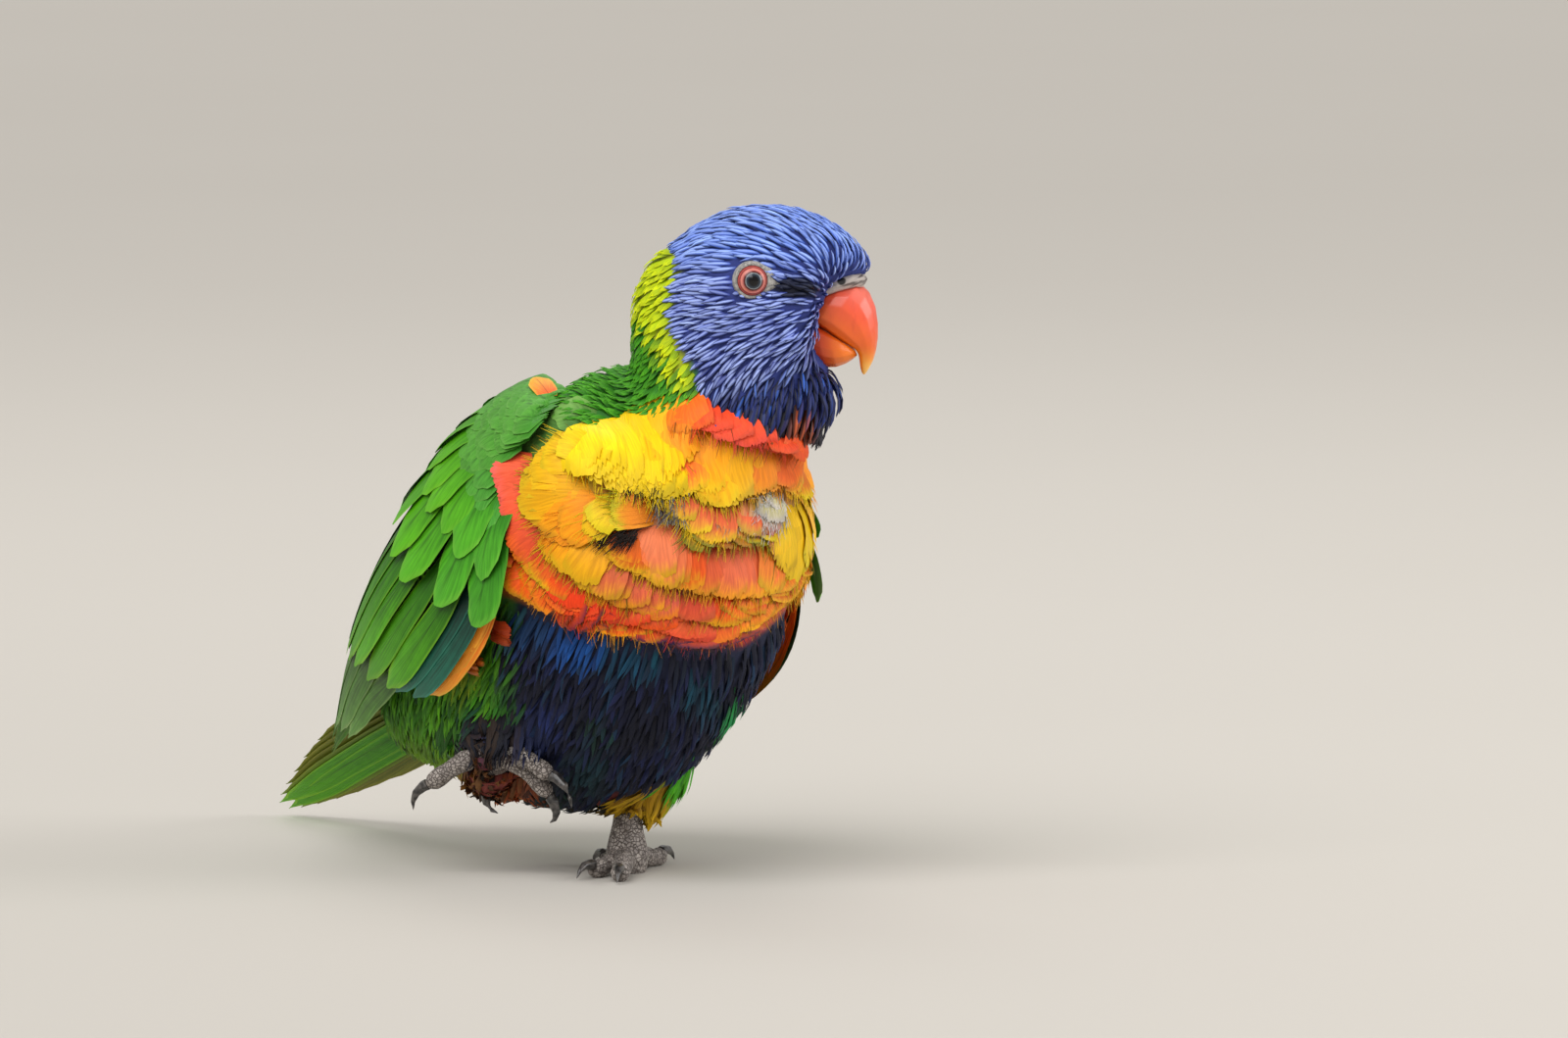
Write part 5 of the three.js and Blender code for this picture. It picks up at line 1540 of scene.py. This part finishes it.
# Loose barbs stand out past the breast feathers' ends as fine hairs, some pale and some dark, except over the
# wing. Each feather has as many, and they start some way behind its end.
BARBS = {"each": 9, "rows": 3, "width": 0.27, "length": (0.8, 4.4), "behind": 2, "dark": 0.22, "spread": 0.45}
BARB_VANE = {"columns": 2, "outline": [(0, 1), (1, 0.25)], "thick": 0.16, "rise": (2.4, 2.9), "camber": 0.2,
             "roll": 0.2, "uneven": 0.5}
heading = unit(paths[:, -1] - paths[:, -2])
sideways = np.cross(normals[:, -1], heading)
owner = np.repeat(np.flatnonzero(picture_frame(paths[:, -1])[0] > OVER_WING["from"]), BARBS["each"])
offset = (rng.random(len(owner)) * 2 - 1)[:, None]
aim = unit(heading[owner] + sideways[owner] * (offset * 0.35 + rng.normal(0, 0.16, (len(owner), 1))))
start = paths[owner, -1] + sideways[owner] * offset * widths[owner, None] * BARBS["spread"] * MM
start = start - heading[owner] * BARBS["behind"] * MM
reach = BARBS["behind"] + rng.uniform(*BARBS["length"], len(owner)) - 0.8 * np.abs(offset[:, 0])
share = np.linspace(0, 1, BARBS["rows"] + 1)[None, :, None]
barb_paths = start[:, None] + aim[:, None] * (reach[:, None, None] * share) * MM
barb_normals = np.repeat(normals[owner, -1][:, None], BARBS["rows"] + 1, axis=1)
dark = (rng.random(len(owner)) < BARBS["dark"]) * 0.75
shade = blend(colours["tip"][owner], DARK_FRINGE, dark)
add_coat(
    "breast_barbs", "breast_plumage", fanned, *BODY, paths[owner, 0], barb_paths, barb_normals,
    np.full(len(owner), BARBS["width"]), BARB_VANE,
    {"root": shade, "tip": varied(shade, rng, 0.2), "mark": shade}, rng,
)


# A wing's feathers lie in tiers from the shoulder to the tip: small lesser coverts, then median and greater
# coverts, then the secondaries and the long primaries. Each tier's quills are set in the flesh under the
# tier above.
QUILL = [(0, 0.55), (0.3, 0.95), (0.7, 1), (0.9, 0.75), (1, 0.25)]
LONG_QUILL = [(0, 0.7), (0.4, 1), (0.75, 0.82), (0.93, 0.45), (1, 0.08)]
FLIGHT_VANE = {"columns": 6, "thick": 0.42, "camber": 0.08, "round": 0.05, "roll": 0.02}
COVERT_VANE = {"columns": 6, "thick": 0.35, "camber": 0.1, "round": 0.16, "ragged": 0.03, "roll": 0.04}
# The tiers from the lowest up. The roots and tips of each one's first and last feather are given on the
# wing's face, as the share from shoulder to tip and from the lower edge up. The colours are of root, tip
# and rim
WING_TIERS = [
    {"count": 7, "root": ((0.15, 0.13), (0.18, 0.8)), "tip": ((0.46, 0.09), (0.56, 0.8)), "width": 10,
     "rise": (-2.9, -2.3), "outline": QUILL, "colour": ("15190b", "2a3212", "3c4818")},
    # This orange feather's colours are its own, made lighter and yellower as painted light against the shade
    # under the wing.
    {"count": 3, "root": ((0.25, 0.06), (0.33, 0.03)), "tip": ((0.46, 0.035), (0.54, 0.02)), "width": 6.5,
     "rise": (-3.1, -2.2), "outline": QUILL, "colour": ("e07018", "f8a028", "ffd84a")},
    {"count": 8, "root": ((0.5, 0.12), (0.55, 0.86)), "tip": ((0.8, 0.1), (1.0, 0.86)), "width": 6.2,
     "rise": (-1.6, 0.1), "outline": LONG_QUILL, "colour": ("28500c", "5c9434", "a8c878"), "lean": 0.08},
    {"count": 2, "root": ((0.29, 0.06), (0.3, 0.1)), "tip": ((0.55, 0.04), (0.59, 0.07)), "width": 6,
     "rise": (-1.9, -0.5), "outline": QUILL, "colour": ("12382e", "1c6a54", "3f9a80"), "lean": 0.08},
    {"count": 11, "root": ((0.31, 0.14), (0.37, 0.95)), "tip": ((0.59, 0.11), (0.76, 0.93)), "width": 7.6,
     "rise": (-1.3, 0.5), "outline": QUILL, "colour": ("225a04", "52a40a", "94d028"), "lean": 0.1},
    {"count": 8, "root": ((0.18, 0.04), (0.22, 0.94)), "tip": ((0.365, 0.03), (0.5, 0.92)), "width": 13,
     "rise": (-1.2, 1.1), "outline": TILE, "colour": ("2a6e04", "52a608", "7cc020"), "lean": 0.09},
    {"count": 9, "root": ((0.12, 0.06), (0.12, 0.93)), "tip": ((0.27, 0.03), (0.34, 0.91)), "width": 11.5,
     "rise": (-1.1, 1.5), "outline": TILE, "colour": ("348006", "5aae10", "7cc028"), "lean": 0.07},
]
# The lesser coverts: rows between two shares along the wing, how many in a row, how long each is as a share
# of the wing, and how low the rows reach at places along it
LESSER = {"rows": 9, "first": -0.03, "last": 0.12, "across": 12, "length": 0.095,
          "from": (-0.03, 0.05, 0.12, 0.17), "low": (0.5, 0.36, 0.12, 0.02), "width": 9, "rise": (-1.1, 0.9),
          "outline": TILE, "colour": ("35801a", "549a34", "6cac48"), "lean": 0.04}
# One small orange feather lies on the right wing's shoulder
STRAY = {"root": (0.0, 0.94), "tip": (0.11, 0.96), "width": 5, "rise": (0.4, 2.2), "outline": TILE,
         "colour": ("ee6424", "fcb030", "fcd040")}
# The left wing's lowest coverts are this much shorter
LOW_LEFT = 0.45
# Towards the lower edge the coverts turn emerald
EMERALD = ("1c6a1c", "3a9a34", "6cc050")
# The last tiers are coverts
COVERTS_FROM = 5


def tier_mesh(name, stations, hand, tier, form, rows, rng, starts=None, ends=None):
    """One mesh of a tier's feathers from starts to ends, each a pair of shares on the wing's face."""
    if starts is None:
        share = np.linspace(0, 1, tier["count"])[:, None]
        starts = np.array(tier["root"][0]) * (1 - share) + np.array(tier["root"][1]) * share
        ends = np.array(tier["tip"][0]) * (1 - share) + np.array(tier["tip"][1]) * share
        ends = ends + rng.normal(0, 0.007, ends.shape)
        if form is COVERT_VANE and hand > 0:
            shorter = LOW_LEFT * smoothstep(starts[:, 1:], 0.3, 0.1)
            ends = ends * (1 - shorter) + starts * shorter
    count = len(starts)
    share = np.linspace(0, 1, rows + 1)[None, :, None]
    spots = starts[:, None] * (1 - share) + ends[:, None] * share
    paths, normals = wing_face(stations, hand, spots[..., 0], spots[..., 1])
    kind = {**form, "outline": tier["outline"], "rise": tier["rise"], "uneven": 0.12}
    kind["lean"] = -tier.get("lean", 0) * hand
    low = smoothstep(starts[:, 1], 0.45, 0.05) * (form is COVERT_VANE) * 0.45
    shades = [blend(code, green, low) for code, green in zip(tier["colour"], EMERALD)]
    colours = coloured(rng, (0.09, 0.09, 0.09), *shades)
    widths = tier["width"] + rng.normal(0, 0.4, count)
    patches = 0.01 + 0.98 * np.clip(starts, 0, 1)
    return feather_mesh(name, paths, normals, widths, kind, colours, patches, rng)


glossy = vane_material(
    "smooth_wing_feathers", 12, 0.8, depth=0.3, rough=0.5, relief=0.6, spread=(0.1, 0.95), rim=0.35,
    shaft=0.35, hem=0.3,
)
rng = np.random.default_rng(31)
for (side, hand), stations in zip(SIDES, (WING_LEFT, WING_RIGHT)):
    made = []
    for n, tier in enumerate(WING_TIERS):
        form, rows = (COVERT_VANE, 8) if n >= COVERTS_FROM else (FLIGHT_VANE, 12)
        made.append(tier_mesh(f"wing_tier_{side}_{n}", stations, hand, tier, form, rows, rng))
    starts, ends = [], []
    for row in range(LESSER["rows"]):
        a = LESSER["first"] + (LESSER["last"] - LESSER["first"]) * row / (LESSER["rows"] - 1)
        for n in range(LESSER["across"]):
            t = (n + 0.5 * (row % 2)) / (LESSER["across"] - 0.5)
            low = np.interp(a, LESSER["from"], LESSER["low"])
            starts.append((a, low + (0.97 - low) * t))
            ends.append((a + LESSER["length"], low * 0.9 + (0.96 - low) * t))
    starts, ends = np.array(starts), np.array(ends) + rng.normal(0, 0.006, (len(ends), 2))
    made.append(tier_mesh("lesser_" + side, stations, hand, LESSER, COVERT_VANE, 6, rng, starts, ends))
    if side == "right":
        ends = [np.array([STRAY[end]]) for end in ("root", "tip")]
        made.append(tier_mesh("stray_feather", stations, hand, STRAY, COVERT_VANE, 6, rng, *ends))
    name = "wing_feathers_" + side
    add_piece(name, mesh_of(joined(made), name), glossy, "green_plumage", "wing_" + side)


# The tail is a narrow fan of twelve stepped, pointed feathers. The middle pair is longest and lies uppermost,
# and the fan is rolled, with its right edge up. All are green above, and olive below but for the middle pair.
TAIL = np.array(
    [[-56, 0, 41], [-78, 0, 33.5], [-104, 0.5, 23.5], [-128, 1.5, 14.5], [-146, 2.4, 7.6], [-160, 3, 2.9]],
    float,
)
TAIL_ROLL = math.radians(32)
TAIL_SIDE = np.array([math.cos(TAIL_ROLL), 0, -math.sin(TAIL_ROLL)])
TAIL_SHARES = [1, 0.94, 0.87, 0.79, 0.7, 0.6]
# How far from the middle the innermost and the outermost feathers are at roots and tips, where on the tail
# they start, the level of the middle pair and how much lower each next pair is
TAIL_SPREAD = {"roots": (0.8, 5.0), "tips": (1.5, 10.4), "start": 0.05, "level": 0.9, "drop": 0.42}
TAIL_WIDTH = 8.6
TAIL_GREEN = {"root": "2f7808", "tip": "57a80e", "mark": "9cd028"}
TAIL_OLIVE = {"root": "4a5812", "tip": "70761c", "mark": "a09a34"}
paths, normals = [], []
for n in range(len(TAIL_SHARES) - 1, -1, -1):
    share = n / (len(TAIL_SHARES) - 1)
    for hand in (-1, 1):
        run = np.linspace(0, 1, 15)
        a = TAIL_SPREAD["start"] + (TAIL_SHARES[n] - TAIL_SPREAD["start"]) * run
        roots_at, tips_at = TAIL_SPREAD["roots"], TAIL_SPREAD["tips"]
        offset = np.interp(share, (0, 1), roots_at) * (1 - run) + np.interp(share, (0, 1), tips_at) * run
        middle = place(along(TAIL, a))
        normal = unit(np.cross(np.gradient(middle, axis=0), TAIL_SIDE))
        level = TAIL_SPREAD["level"] - TAIL_SPREAD["drop"] * n + (0.12 if hand < 0 else 0)
        paths.append(middle + TAIL_SIDE * (hand * offset * MM)[:, None] + normal * level * MM)
        normals.append(normal)
paths, normals = np.array(paths), np.array(normals)
normals *= np.sign(normals[:, :1, 2:])
rng = np.random.default_rng(41)
count = len(paths)
kind = {**FLIGHT_VANE, "columns": 8, "outline": LONG_QUILL, "rise": (0, 0.1), "uneven": 0.05, "roll": 0.03}
outer = smoothstep(np.repeat(np.arange(len(TAIL_SHARES))[::-1], 2), 0.2, 1.4)
shades = [blend(TAIL_GREEN[key], TAIL_OLIVE[key], outer) for key in TAIL_GREEN]
colours = coloured(rng, (0.1, 0.1, 0.1), *shades)
patches = 0.1 + 0.8 * np.stack([np.linspace(0, 1, count), np.full(count, 0.5)], 1)
widths = np.full(count, TAIL_WIDTH)
mesh = feather_mesh("tail_feathers", paths, normals, widths, kind, colours, patches, rng)
upper = np.tile(vane_form(kind["columns"], paths.shape[1] - 1)[2] > 0, count)
for name, code in TAIL_GREEN.items():
    layer = mesh.color_attributes[name].data
    values = np.empty((len(layer), 4), np.float32)
    layer.foreach_get("color", values.ravel())
    values[upper] = paint(code)
    layer.foreach_set("color", values.ravel())
add_piece("tail_feathers", mesh, glossy, "green_plumage", "tail")
